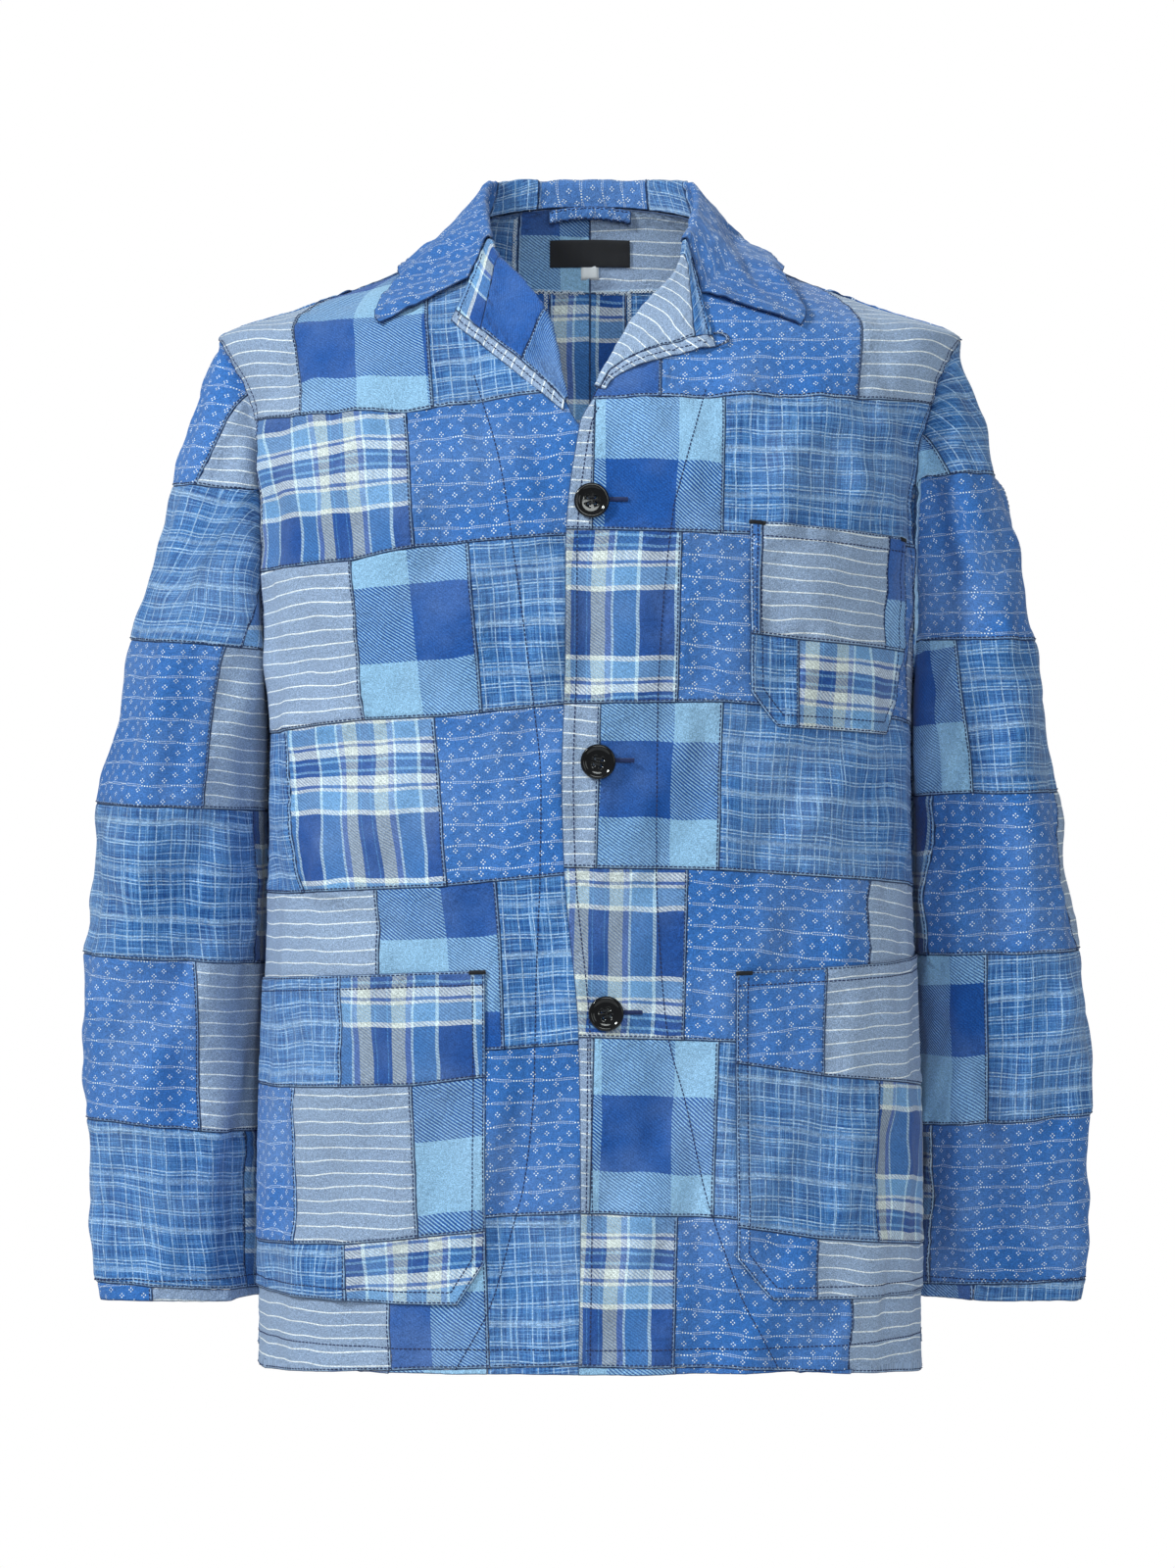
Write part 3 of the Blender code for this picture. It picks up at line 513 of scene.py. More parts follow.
def sleeve_spot(side, turn, t, height=0.0):
    outer = sleeve_outers[side]
    e, f = 0.004, 0.004
    base = sleeve_base(turn, t, outer)
    around = sleeve_base(turn + e, t, outer) - sleeve_base(turn - e, t, outer)
    down = sleeve_base(turn, t + f, outer) - sleeve_base(turn, np.maximum(t - f, 0), outer)
    normal = unit(np.cross(around, -down))
    base, normal = mirrored(base, side), mirrored(normal, side)
    turn = np.asarray(turn) % 1
    free = smooth(0.0, 0.10, t) * smooth(0.02, 0.12, np.minimum(turn, 1 - turn))
    relief = (1.15 * undulation(base) + crease_height(base, sleeve_creases)) * free
    return base + normal * (relief + height)[..., None], normal


# Patches: four sides in a surface's own two coordinates, filled with a grid
near_stops = (0.0, 0.0007, 0.0016, 0.0030, 0.0055)


def stops(length, cell):
    """Places across a patch, close together beside its seams, as shares of its length."""
    if length < 2.6 * near_stops[-1]:
        return np.linspace(0, 1, 6)
    near = np.array(near_stops)
    count = max(int(round((length - 2 * near[-1]) / cell)), 1)
    middle = np.linspace(near[-1], length - near[-1], count + 1)[1:-1]
    return np.concatenate([near, middle, length - near[::-1]]) / length


def evened(spot, curve):
    """A curve read at equal lengths in space, and its length."""
    s = (1 - np.cos(np.linspace(0, math.pi, 241))) / 2
    pq = curve(s)
    run = run_along(spot(pq[:, 0], pq[:, 1]))
    total = run[-1]
    if total < 1e-6:
        return 0.0, lambda f: np.stack([np.interp(f, s, pq[:, 0]), np.interp(f, s, pq[:, 1])], axis=-1)
    run = run + np.linspace(0, 1e-9, len(run))

    def read(share):
        at = np.asarray(share) * run[-1]
        return np.stack([np.interp(at, run, pq[:, k]) for k in (0, 1)], axis=-1)

    return total, read


def filled(bottom, top, left, right, fa, fb):
    """Coordinates inside four sides, given as functions of a share."""
    a, b = fa[None, :, None], fb[:, None, None]
    across = (1 - b) * bottom(fa)[None] + b * top(fa)[None]
    along = (1 - a) * left(fb)[:, None] + a * right(fb)[:, None]
    p00, p10, p01, p11 = bottom(0.0), bottom(1.0), top(0.0), top(1.0)
    corners = (1 - a) * (1 - b) * p00 + a * (1 - b) * p10 + (1 - a) * b * p01 + a * b * p11
    return across + along - corners


def meeting(level_of, length_of, level):
    """Where a row seam, as level of length, crosses a column line, as length of level."""
    for _ in range(60):
        length = float(length_of(level))
        level = 0.5 * level + 0.5 * float(level_of(length))
    return length, level


class Sheet:
    """A surface given by a fine grid of points and read by shares: a runs across it, b along it."""

    def __init__(self, points, at, facing):
        self.points = points
        across, along = run_along(points, axis=1), run_along(points, axis=0)
        self.wide, self.high = across[:, -1].mean(), along[-1].mean()
        self.width = across[:, -1]
        self.a = across.mean(axis=0) / self.wide
        self.b = along.mean(axis=1) / self.high
        self.sign = 1.0
        self.sign = 1.0 if np.dot(self.normal(*at), facing) > 0 else -1.0

    def spot(self, a, b):
        a, b = matched(a, b)
        row = np.interp(b, self.b, np.arange(len(self.b)))
        column = np.interp(a, self.a, np.arange(len(self.a)))
        return read_grid(self.points, row, column)

    def normal(self, a, b):
        a, b = matched(a, b)
        e = 0.006
        across = self.spot(np.minimum(a + e, 1), b) - self.spot(np.maximum(a - e, 0), b)
        along = self.spot(a, np.minimum(b + e, 1)) - self.spot(a, np.maximum(b - e, 0))
        return unit(np.cross(across, along)) * self.sign

    def beside(self, distance):
        """The share across that lies this far inside the last edge, as a function of b."""
        widths = np.maximum(self.width, 1e-4)
        return lambda b: 1 - np.minimum(distance / np.interp(b, self.b, widths), 0.6)

    def lay(self, cloth, fabric, a_ends, b_ends, stitched=(), relief=None, **more):
        """Adds a patch between two limits across and two along. A limit may depend on the other share."""
        def limit(value, other):
            return value(other) if callable(value) else np.full(np.shape(other), float(value))

        def places(fa, fb):
            fa, fb = np.meshgrid(fa, fb)
            a, b = fa, fb
            for _ in range(4):
                low, high = limit(a_ends[0], b), limit(a_ends[1], b)
                a = low + (high - low) * fa
                low, high = limit(b_ends[0], a), limit(b_ends[1], a)
                b = low + (high - low) * fb
            return a, b

        rough = self.spot(*places(np.linspace(0, 1, 25), np.linspace(0, 1, 25)))
        wide, high = run_along(rough, axis=1)[:, -1].max(), run_along(rough, axis=0)[-1].max()
        inset = 0.00003
        fa = stops(wide, cloth.cell) * (1 - 2 * inset / wide) + inset / wide
        fb = stops(high, cloth.cell) * (1 - 2 * inset / high) + inset / high
        a, b = places(fa, fb)
        base, normal = self.spot(a, b), self.normal(a, b)
        if relief is not None:
            base = base + normal * relief(base, a, b)[..., None]
        cloth.patch(fabric, base, normal, stitched, **more)


# Relief of a patch beside its seams
relief_limit = 0.0009       # no gather or groove is higher or deeper than this
groove_reach = 0.0009
ridge_rise = (0.0003, 0.0012)
ridge_fall = (0.0060, 0.0095)
pucker_reach = 0.0085
pucker_lengths = (0.0142, 0.0093)
stitch_row = 2              # the grid line of a patch along which its topstitching runs


class Cloth:
    """Gathers patches into one mesh and keeps the lines to be stitched."""

    def __init__(self, name, settings):
        self.name, self.settings = name, settings
        self.points, self.faces, self.uv, self.normals = [], [], [], []
        self.edge, self.rim, self.tone, self.kind = [], [], [], []
        self.part, self.parts = [], []
        self.count = 0
        self.area = 0.0
        self.lines = []
        self.fabrics = []
        self.cell = settings.cell
        self.rng = np.random.default_rng(sum(ord(c) for c in name))

    def pucker(self, along, away, height):
        """Small gathers along a sewn edge."""
        phase = self.rng.uniform(0, 6.28, 3)
        swing = 1.7 * np.sin(along * (6.28 / 0.047) + phase[0])
        wave = np.sin(along * (6.28 / pucker_lengths[0]) + swing + phase[1])
        wave += 0.60 * np.sin(along * (6.28 / pucker_lengths[1]) - 0.8 * swing + phase[2])
        strong = 0.65 + 0.35 * np.sin(along * (6.28 / 0.083) + phase[1])
        return height * wave * strong * np.exp(-away / pucker_reach)

    def seam_relief(self, u, v, away, nearest, stitched, ease):
        """Grooves at the seams, ridges of the turned allowances and the gathers along them."""
        s = self.settings
        height = -s.groove * np.exp(-((nearest / groove_reach) ** 2))
        for way, distance in away.items():
            height = height + self.pucker(v if way in ("left", "right") else u, distance, s.pucker * ease)
            if way in stitched:
                ridge = smooth(*ridge_rise, distance) * (1 - smooth(*ridge_fall, distance))
                height = height + s.ridge * ridge
        return relief_limit * np.tanh(height / relief_limit)

    def pattern_start(self, points, u, v, anchor, flip_u):
        """Cloth coordinates at which the pattern starts: at a pixel, or by chance where none is given."""
        if anchor is None:
            return self.rng.uniform(0, 0.1, 2)
        miss = in_picture(points) - np.array(anchor, float)
        k = np.unravel_index(np.argmin(np.sum(miss * miss, axis=-1)), u.shape)
        scale = (camera_distance + points[k][1]) / focal_pixels
        return (-u[k] if flip_u else u[k]) - miss[k][0] * scale, v[k] + miss[k][1] * scale

    def patch(self, fabric, base, normal, stitched, ease=1.0, anchor=None, turn_cloth=False, flip_u=False,
              tone=None, straight=None, free=()):
        """Adds one patch from its grid of points.

        stitched names its topstitched edges, free its worn outer ones. straight has its cloth coordinates."""
        u, v = run_along(base, axis=1), run_along(base, axis=0)
        away = {"left": u, "right": u[:, -1:] - u, "bottom": v, "top": v[-1:, :] - v}
        nearest = np.minimum.reduce(list(away.values()))
        worn = [distance for way, distance in away.items() if way in stitched or way in free]
        rim = np.minimum.reduce([np.full(u.shape, 1.0)] + worn)
        height = self.seam_relief(u, v, away, nearest, stitched, ease)
        points = base + normal * height[..., None]
        if straight is not None:
            u, v = straight[..., 0], straight[..., 1]
        zero_u, zero_v = self.pattern_start(points, u, v, anchor, flip_u)
        cloth_u, cloth_v = (-u if flip_u else u) - zero_u, v - zero_v
        if turn_cloth:
            cloth_u, cloth_v = cloth_v, -cloth_u
        self.grid(fabric, points, normal, np.stack([cloth_u, cloth_v], axis=-1), nearest, rim, tone)
        edges = {"left": points[:, stitch_row], "right": points[:, -1 - stitch_row],
                 "bottom": points[stitch_row], "top": points[-1 - stitch_row]}
        for way in stitched:
            if run_along(edges[way])[-1] > 0.004:
                self.lines.append(edges[way])

    def grid(self, fabric, points, normal, uv, nearest, rim, tone=None):
        rows, columns = points.shape[:2]
        flat = points.reshape(-1, 3)
        key = np.round(flat / 2e-5).astype(np.int64)
        _, first, back = np.unique(key, axis=0, return_index=True, return_inverse=True)
        back = back.reshape(-1)
        index = np.arange(rows * columns).reshape(rows, columns)
        quads = np.stack([index[:-1, :-1], index[:-1, 1:], index[1:, 1:], index[1:, :-1]], axis=-1)
        quads = quads.reshape(-1, 4)
        if fabric not in self.fabrics:
            self.fabrics.append(fabric)
        number = self.fabrics.index(fabric)
        middle = np.cross(flat[quads[:, 2]] - flat[quads[:, 0]], flat[quads[:, 3]] - flat[quads[:, 1]])
        self.area += float(np.linalg.norm(middle, axis=-1).sum()) / 2
        for quad in back[quads]:
            face = []
            for k in quad:
                if int(k) + self.count not in face:
                    face.append(int(k) + self.count)
            if len(face) > 2:
                self.faces.append(face)
                self.kind.append(number)
                self.part.append(len(self.parts))
        self.points.append(flat[first])
        self.normals.append(np.broadcast_to(normal, points.shape).reshape(-1, 3)[first])
        self.uv.append(uv.reshape(-1, 2)[first])
        self.edge.append(nearest.reshape(-1)[first])
        self.rim.append(rim.reshape(-1)[first])
        own_tone = self.rng.uniform(-1, 1) if tone is None else tone
        self.tone.append(np.full(len(first), own_tone))
        self.parts.append(fabric)
        self.count += len(first)

    def build(self, thickness=None):
        """Makes the object, with its faces turned the way of the normals that its patches came with."""
        points, normals = np.concatenate(self.points), np.concatenate(self.normals)
        tri = np.array([f[:3] for f in self.faces])
        turned = np.cross(points[tri[:, 1]] - points[tri[:, 0]], points[tri[:, 2]] - points[tri[:, 0]])
        turned = np.sum(turned * normals[tri[:, 0]], axis=-1)
        for k in range(len(self.parts)):
            part = np.array(self.part) == k
            if turned[part].sum() < 0:
                for j in np.flatnonzero(part):
                    self.faces[j] = self.faces[j][::-1]
        mesh = bpy.data.meshes.new(self.name)
        mesh.from_pydata(points.tolist(), [], self.faces)
        corner = np.zeros(len(mesh.loops), np.int32)
        mesh.loops.foreach_get("vertex_index", corner)
        layer = mesh.uv_layers.new(name="cloth")
        layer.data.foreach_set("uv", np.concatenate(self.uv)[corner].astype(np.float32).ravel())
        for label, values in (("edge", self.edge), ("rim", self.rim), ("tone", self.tone)):
            spot = mesh.attributes.new(label, "FLOAT", "POINT")
            spot.data.foreach_set("value", np.concatenate(values).astype(np.float32))
        for fabric in self.fabrics:
            mesh.materials.append(cloth_material(fabric))
        mesh.polygons.foreach_set("material_index", np.array(self.kind, np.int32))
        mesh.shade_smooth()
        mesh.update()
        obj = bpy.data.objects.new(self.name, mesh)
        collection().objects.link(obj)
        self.tree = BVHTree.FromPolygons(points.tolist(), self.faces)
        wall = obj.modifiers.new("wall", "SOLIDIFY")
        wall.thickness = self.settings.cloth if thickness is None else thickness
        wall.offset = -1
        wall.use_even_offset = False
        return obj

    def laid(self, line):
        """A line moved onto the built cloth."""
        spots = []
        for p in line:
            hit = self.tree.find_nearest(Vector(p))
            spots.append(hit[0][:] if hit[0] is not None else p)
        return np.array(spots)


def collection():
    name = "Patchwork Jacket"
    if name not in bpy.data.collections:
        new = bpy.data.collections.new(name)
        bpy.context.scene.collection.children.link(new)
    return bpy.data.collections[name]


# Sewing: each stitch is a small spindle of thread
def spindles(name, centres, ways, ups, length, width, thread="thread_navy"):
    """Makes one object of many spindles, each along its way and standing off along its up direction."""
    c, w, n = np.array(centres), unit(np.array(ways)), unit(np.array(ups))
    w = unit(w - n * np.sum(w * n, axis=-1, keepdims=True))
    b = np.cross(n, w)
    half = length / 2
    c = c + n * width * 0.20
    high = n * width * 0.45
    corners = [c - w * half - n * width * 0.2]
    for end in (-0.62, 0.62):
        ring = c + w * half * end
        corners += [ring + high, ring + b * width / 2, ring - b * width / 2]
    corners = np.stack(corners + [c + w * half - n * width * 0.2], axis=1)
    shape = np.array([(0, 1, 2), (0, 2, 3), (0, 3, 1), (1, 4, 2), (2, 4, 5), (2, 5, 3), (3, 5, 6), (3, 6, 1),
                      (1, 6, 4), (7, 5, 4), (7, 6, 5), (7, 4, 6)])[:, ::-1]
    faces = (shape[None] + 8 * np.arange(len(c))[:, None, None]).reshape(-1, 3)
    mesh = bpy.data.meshes.new(name)
    mesh.from_pydata(corners.reshape(-1, 3).tolist(), [], faces.tolist())
    mesh.materials.append(thread_material(thread))
    mesh.shade_smooth()
    obj = bpy.data.objects.new(name, mesh)
    collection().objects.link(obj)
    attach(obj, "root")
    return obj


def along_lines(cloth, lines, pitch):
    """Spots at an even pitch along lines, set down on the cloth: places, ways and normals."""
    centres, ways, ups = [], [], []
    for line in lines:
        run = run_along(line)
        if run[-1] < pitch * 1.5:
            continue
        at = np.arange(pitch * 0.5, run[-1] - pitch * 0.4, pitch)
        p = np.stack([np.interp(at, run, line[:, k]) for k in range(3)], axis=-1)
        q = np.stack([np.interp(at + 0.0003, run, line[:, k]) for k in range(3)], axis=-1)
        for spot, way in zip(p, q - p):
            hit = cloth.tree.find_nearest(Vector(spot), 0.004)
            if hit[0] is not None:
                centres.append(hit[0][:])
                ways.append(way)
                ups.append(hit[1][:])
    return np.array(centres), np.array(ways), np.array(ups)


def stitches(name, cloth, lines, settings):
    """Running stitches along lines on a piece of cloth."""
    centres, ways, ups = along_lines(cloth, lines, settings.stitch_pitch)
    return spindles(name, centres, ways, ups, settings.stitch_pitch * 0.86, settings.thread)


def tack(name, cloth, lines, width):
    """A bar of close stitches set across each line."""
    centres, ways, ups = along_lines(cloth, lines, 0.00042)
    return spindles(name, centres, np.cross(ups, ways), ups, width, 0.0013, "thread_black")


def overlock(name, cloth, lines, wall):
    """Pale slanting stitches over a seam allowance on the cloth's inner side."""
    centres, ways, ups = along_lines(cloth, lines, 0.0011)
    ways = unit(ways)
    side = np.cross(ups, ways)
    turn = np.where(np.arange(len(ways)) % 2 == 0, 1.0, -1.0)[:, None]
    return spindles(name, centres - ups * (wall + 0.0002), side * 0.9 + ways * turn, -ups, 0.0048, 0.00065,
                    "thread_pale")


# Node graphs
class Graph:
    """Short names for shader nodes. Values may be numbers or sockets."""

    def __init__(self, name):
        self.material = bpy.data.materials.new(name)
        self.material.use_nodes = True
        self.tree = self.material.node_tree
        self.shader = self.tree.nodes["Principled BSDF"]

    def plug(self, node, index, value):
        if isinstance(value, bpy.types.NodeSocket):
            self.tree.links.new(value, node.inputs[index])
        elif value is not None:
            node.inputs[index].default_value = value

    def node(self, kind, *values):
        """A new node, with the values plugged into its first inputs."""
        node = self.tree.nodes.new(f"ShaderNode{kind}")
        for k, value in enumerate(values):
            self.plug(node, k, value)
        return node

    def math(self, kind, *values):
        node = self.node("Math", *values)
        node.operation = kind
        return node.outputs[0]

    def add(self, a, b):
        return self.math("ADD", a, b)

    def sub(self, a, b):
        return self.math("SUBTRACT", a, b)

    def mul(self, a, b):
        return self.math("MULTIPLY", a, b)

    def most(self, a, b):
        return self.math("MAXIMUM", a, b)

    def ramp(self, value, low, high, start=0.0, end=1.0):
        """A value carried smoothly from one range to another."""
        node = self.node("MapRange", value, low, high, start, end)
        node.interpolation_type = "SMOOTHSTEP"
        return node.outputs[0]

    def mix(self, share, a, b, kind="MIX"):
        node = self.node("Mix")
        node.data_type = "RGBA"
        node.blend_type = kind
        self.plug(node, 0, share)
        for index, value in ((6, a), (7, b)):
            self.plug(node, index, (*value, 1.0) if isinstance(value, tuple) and len(value) == 3 else value)
        return node.outputs[2]

    def grey(self, value):
        return self.node("CombineColor", value, value, value).outputs[0]

    def attribute(self, name):
        node = self.node("Attribute")
        node.attribute_name = name
        return node.outputs["Fac"]

    def cloth_place(self):
        """The two cloth coordinates in millimetres."""
        node = self.node("UVMap")
        node.uv_map = "cloth"
        part = self.node("SeparateXYZ", node.outputs[0])
        x, y = self.mul(part.outputs[0], 1000.0), self.mul(part.outputs[1], 1000.0)
        warp = self.sub(self.noise(self.join(x, y, 3.0), 0.014, 2.0), 0.5)
        weft = self.sub(self.noise(self.join(x, y, 9.0), 0.017, 2.0), 0.5)
        return self.add(x, self.mul(warp, 6.0)), self.add(y, self.mul(weft, 9.0))

    def join(self, x, y, z=0.0):
        return self.node("CombineXYZ", x, y, z).outputs[0]

    def noise(self, place, scale=1.0, detail=2.0, rough=0.5):
        node = self.node("TexNoise")
        self.plug(node, "Vector", place)
        node.inputs["Scale"].default_value = scale
        node.inputs["Detail"].default_value = detail
        node.inputs["Roughness"].default_value = rough
        return node.outputs["Fac"]

    def object_place(self):
        return self.node("TexCoord").outputs["Object"]

    def stripe(self, value, period, width, soft=0.12, shift=0.0):
        """1 on lines that repeat along a coordinate."""
        away = self.math("PINGPONG", self.add(value, shift), period / 2)
        return self.ramp(away, width / 2 - soft, width / 2 + soft, 1.0, 0.0)

    def bands(self, value, table):
        """Colour of woven bands: widths and colours that repeat."""
        total = sum(width for width, _ in table)
        node = self.node("ValToRGB", self.math("FRACT", self.mul(value, 1.0 / total)))
        node.color_ramp.interpolation = "CONSTANT"
        marks = node.color_ramp.elements
        start = 0.0
        for k, (width, colour) in enumerate(table):
            stop = marks[0] if k == 0 else marks.new(min(start / total, 0.9999))
            stop.position = start / total
            stop.color = (*colour, 1.0)
            start += width
        if len(marks) > len(table):
            marks.remove(marks[len(table)])
        return node.outputs[0]

    def bump(self, height, distance, strength=1.0, under=None):
        node = self.node("Bump")
        node.inputs["Strength"].default_value = strength
        node.inputs["Distance"].default_value = distance
        self.plug(node, "Height", height)
        if under is not None:
            self.plug(node, "Normal", under)
        return node.outputs[0]

    def finish(self, colour, rough, normal, sheen=0.12, specular=0.25):
        self.plug(self.shader, "Base Color", colour)
        self.plug(self.shader, "Roughness", rough)
        self.plug(self.shader, "Normal", normal)
        self.shader.inputs["Sheen Weight"].default_value = sheen
        self.shader.inputs["Sheen Roughness"].default_value = 0.5
        self.shader.inputs["Specular IOR Level"].default_value = specular
        return self.material


def shade(hexa):
    """A linear colour from its usual screen value."""
    parts = [int(hexa[k:k + 2], 16) / 255 for k in (0, 2, 4)]
    return tuple(p / 12.92 if p <= 0.04045 else ((p + 0.055) / 1.055) ** 2.4 for p in parts)


# Colours of the yarns
navy_thread = shade("14244F")
dot_ground, dot_light = shade("2864B0"), shade("F0F8FC")
chambray_dark, chambray_light, chambray_line = shade("6A82A8"), shade("AABCD6"), shade("F4F8F8")
slub_ground, slub_dark, slub_light = shade("4A86C6"), shade("164486"), shade("C4E0F8")
block_light, block_dark, block_pale_yarn = shade("8AB6DA"), shade("104C9A"), shade("9CC6E4")
white_yarn, sand_yarn = shade("F2F8F4"), shade("B4BDBA")
sky_yarn, pale_yarn = shade("86B4DE"), shade("BCD8E8")
mid_yarn, dark_yarn, violet_yarn = shade("4A82BE"), shade("1E4C94"), shade("5F78B4")



def turned_back(half, middle):
    """Bands that run up to the middle one and back again."""
    return half + (middle,) + half[::-1]


plaid_warp = turned_back(((3.6, dark_yarn), (0.8, mid_yarn), (1.9, dark_yarn), (9.0, sand_yarn),
                          (3.7, violet_yarn), (1.4, pale_yarn), (13.5, mid_yarn), (2.2, pale_yarn)),
                         (22.0, dark_yarn))
plaid_weft = turned_back(((2.3, dark_yarn), (1.4, sky_yarn), (2.3, dark_yarn), (5.6, white_yarn),
                          (2.0, violet_yarn), (1.9, white_yarn), (11.0, sky_yarn), (3.3, white_yarn)),
                         (41.0, dark_yarn))

made = {}


def wear_and_painted_shade(g, colour, x, y):
    """Fading, worn light edges beside the topstitching, and painted shade: the seams' grooves darkened in the
    colour.
    """
    place = g.object_place()
    broad = g.noise(place, 14.0, 3.0, 0.6)
    colour = g.mix(g.ramp(broad, 0.35, 0.75, 0.0, 0.16), colour, (0.42, 0.55, 0.74))
    grain = g.noise(g.join(x, y), 1.15, 2.0, 0.65)
    colour = g.mix(1.0, colour, g.grey(g.ramp(grain, 0.25, 0.75, 0.66, 1.34)), "MULTIPLY")
    mottle = g.noise(g.join(x, y), 0.42, 2.0, 0.6)
    colour = g.mix(1.0, colour, g.grey(g.ramp(mottle, 0.25, 0.75, 0.86, 1.14)), "MULTIPLY")
    # Tone of each patch: random, or set by the caller; the collar's set dark tone is painted shade
    tone = g.attribute("tone")
    colour = g.mix(1.0, colour, g.grey(g.add(1.0, g.mul(tone, 0.06))), "MULTIPLY")
    rim = g.attribute("rim")
    spots = g.noise(g.join(x, y), 0.55, 2.0, 0.7)
    worn = g.mul(g.ramp(rim, 0.0003, 0.0007), g.ramp(rim, 0.0011, 0.0022, 1.0, 0.0))
    colour = g.mix(g.mul(worn, g.ramp(spots, 0.3, 0.6, 0.15, 0.70)), colour, (0.42, 0.60, 0.82))
    # Painted shade: the colour turns dark navy within 0.8 mm of a patch's edge, where the seam groove lies
    edge = g.attribute("edge")
    dark = g.ramp(edge, 0.0002, 0.0008, 0.85, 0.0)
    colour = g.mix(dark, colour, (0.010, 0.034, 0.115))
    return colour


def weave_bump(g, x, y, thread, diagonal=0.0):
    """Fine relief of the yarns, and the crumpling that washing leaves beside the seams."""
    if diagonal:
        across = g.add(g.mul(x, 1.0 / twill_across), g.mul(y, 1.0 / twill_up))
        yarn = g.math("SINE", g.mul(across, 2 * math.pi * diagonal))
    else:
        warp = g.math("SINE", g.mul(x, 2 * math.pi / thread))
        weft = g.math("SINE", g.mul(y, 2 * math.pi / thread))
        yarn = g.mul(warp, weft)
    fibre = g.noise(g.join(x, y), 2.2, 2.0, 0.7)
    fine = g.bump(g.add(g.mul(yarn, 0.5), g.mul(fibre, 1.4)), 0.00016, 0.55)
    edge = g.attribute("edge")
    crumple = g.noise(g.join(x, y), 0.14, 3.0, 0.6)
    near = g.ramp(edge, 0.001, 0.016, 1.0, 0.18)
    return g.bump(g.mul(crumple, near), 0.0036, 0.85, fine)


def dot_fabric(g, x, y):
    x = g.add(x, g.mul(g.noise(g.join(x, y), 0.03, 1.0), 3.0))
    y = g.add(y, g.mul(g.noise(g.join(x, y), 0.045, 1.0), 3.2))
    wide, high = 15.0, 14.0
    light = None
    for along, up in ((0.0, 0.22), (0.57, 0.49), (0.14, 0.77)):
        dx = g.math("ABSOLUTE", g.math("WRAP", g.sub(x, along * wide), wide / 2, -wide / 2))
        dy = g.math("ABSOLUTE", g.math("WRAP", g.add(y, up * high), high / 2, -high / 2))
        for ox, oy in ((1.15, 0.0), (0.0, 1.15)):
            ex, ey = g.sub(dx, ox), g.sub(dy, oy)
            away = g.math("SQRT", g.add(g.mul(ex, ex), g.mul(ey, ey)))
            spot = g.ramp(away, 0.30, 0.52, 1.0, 0.0)
            light = spot if light is None else g.most(light, spot)
    line = g.math("WRAP", y, high / 2, -high / 2)
    share = g.math("FRACT", g.mul(x, 1.0 / 19.5))
    heavy = g.math("LESS_THAN", share, 0.38)
    bead_x = g.math("PINGPONG", x, 0.9)
    bead = g.math("SQRT", g.add(g.mul(bead_x, bead_x), g.mul(line, line)))
    beads = g.mul(g.ramp(bead, 0.36, 0.60, 1.0, 0.0), heavy)
    pair = g.sub(g.math("ABSOLUTE", line), 0.58)
    tiny_x = g.math("PINGPONG", x, 0.5)
    tiny = g.math("SQRT", g.add(g.mul(tiny_x, tiny_x), g.mul(pair, pair)))
    tinies = g.mul(g.mul(g.ramp(tiny, 0.20, 0.40, 1.0, 0.0), g.sub(1.0, heavy)), 0.62)
    light = g.most(light, g.most(beads, tinies))
    ground = g.mix(g.noise(g.join(g.mul(x, 0.2), g.mul(y, 2.0)), 0.8, 2.0), dot_ground, shade("3B74BC"))
    return g.mix(g.mul(light, 0.95), ground, dot_light), weave_bump(g, x, y, 0.62)


def stripe_fabric(g, x, y):
    speck = g.noise(g.join(g.mul(x, 1.5), g.mul(y, 0.9)), 1.4, 2.0, 0.8)
    ground = g.mix(g.ramp(speck, 0.30, 0.70), chambray_dark, chambray_light)
    y = g.add(y, g.mul(g.noise(g.join(x, y), 0.02, 1.0), 2.5))
    line = g.stripe(y, 8.4, 0.75, 0.16)
    return g.mix(g.mul(line, 0.92), ground, chambray_line), weave_bump(g, x, y, 0.58)


def slub_fabric(g, x, y):
    """A fine check of uneven yarns."""
    along = g.noise(g.join(g.mul(x, 1.0), g.mul(y, 0.018)), 0.85, 3.0, 0.75)
    across = g.noise(g.join(g.mul(x, 0.018), g.mul(y, 1.0)), 0.85, 3.0, 0.75)
    colour = g.mix(g.ramp(g.add(along, across), 0.75, 1.20), slub_dark, slub_ground)
    pale = g.most(g.ramp(along, 0.57, 0.74), g.ramp(across, 0.55, 0.72))
    colour = g.mix(g.mul(pale, 0.70), colour, slub_light)
    uneven = g.noise(g.join(x, y), 0.35, 2.0, 0.8)
    lines = g.most(g.stripe(y, 12.4, 0.7, 0.25), g.stripe(y, 12.4, 0.6, 0.25, 2.1))
    lines = g.most(lines, g.stripe(x, 9.6, 0.6, 0.25))
    lines = g.most(lines, g.mul(g.stripe(y, 31.0, 3.2, 1.0, 6.0), 0.45))
    lines = g.mul(lines, g.ramp(uneven, 0.30, 0.62, 0.25, 0.95))
    return g.mix(g.mul(lines, 0.80), colour, slub_light), weave_bump(g, x, y, 0.70)


twill_across, twill_up = 2.9, 2.2


def twill(g, x, y, width=0.5):
    return g.stripe(g.add(g.mul(x, 1.0 / twill_across), g.mul(y, 1.0 / twill_up)), 1.0, width, 0.12)


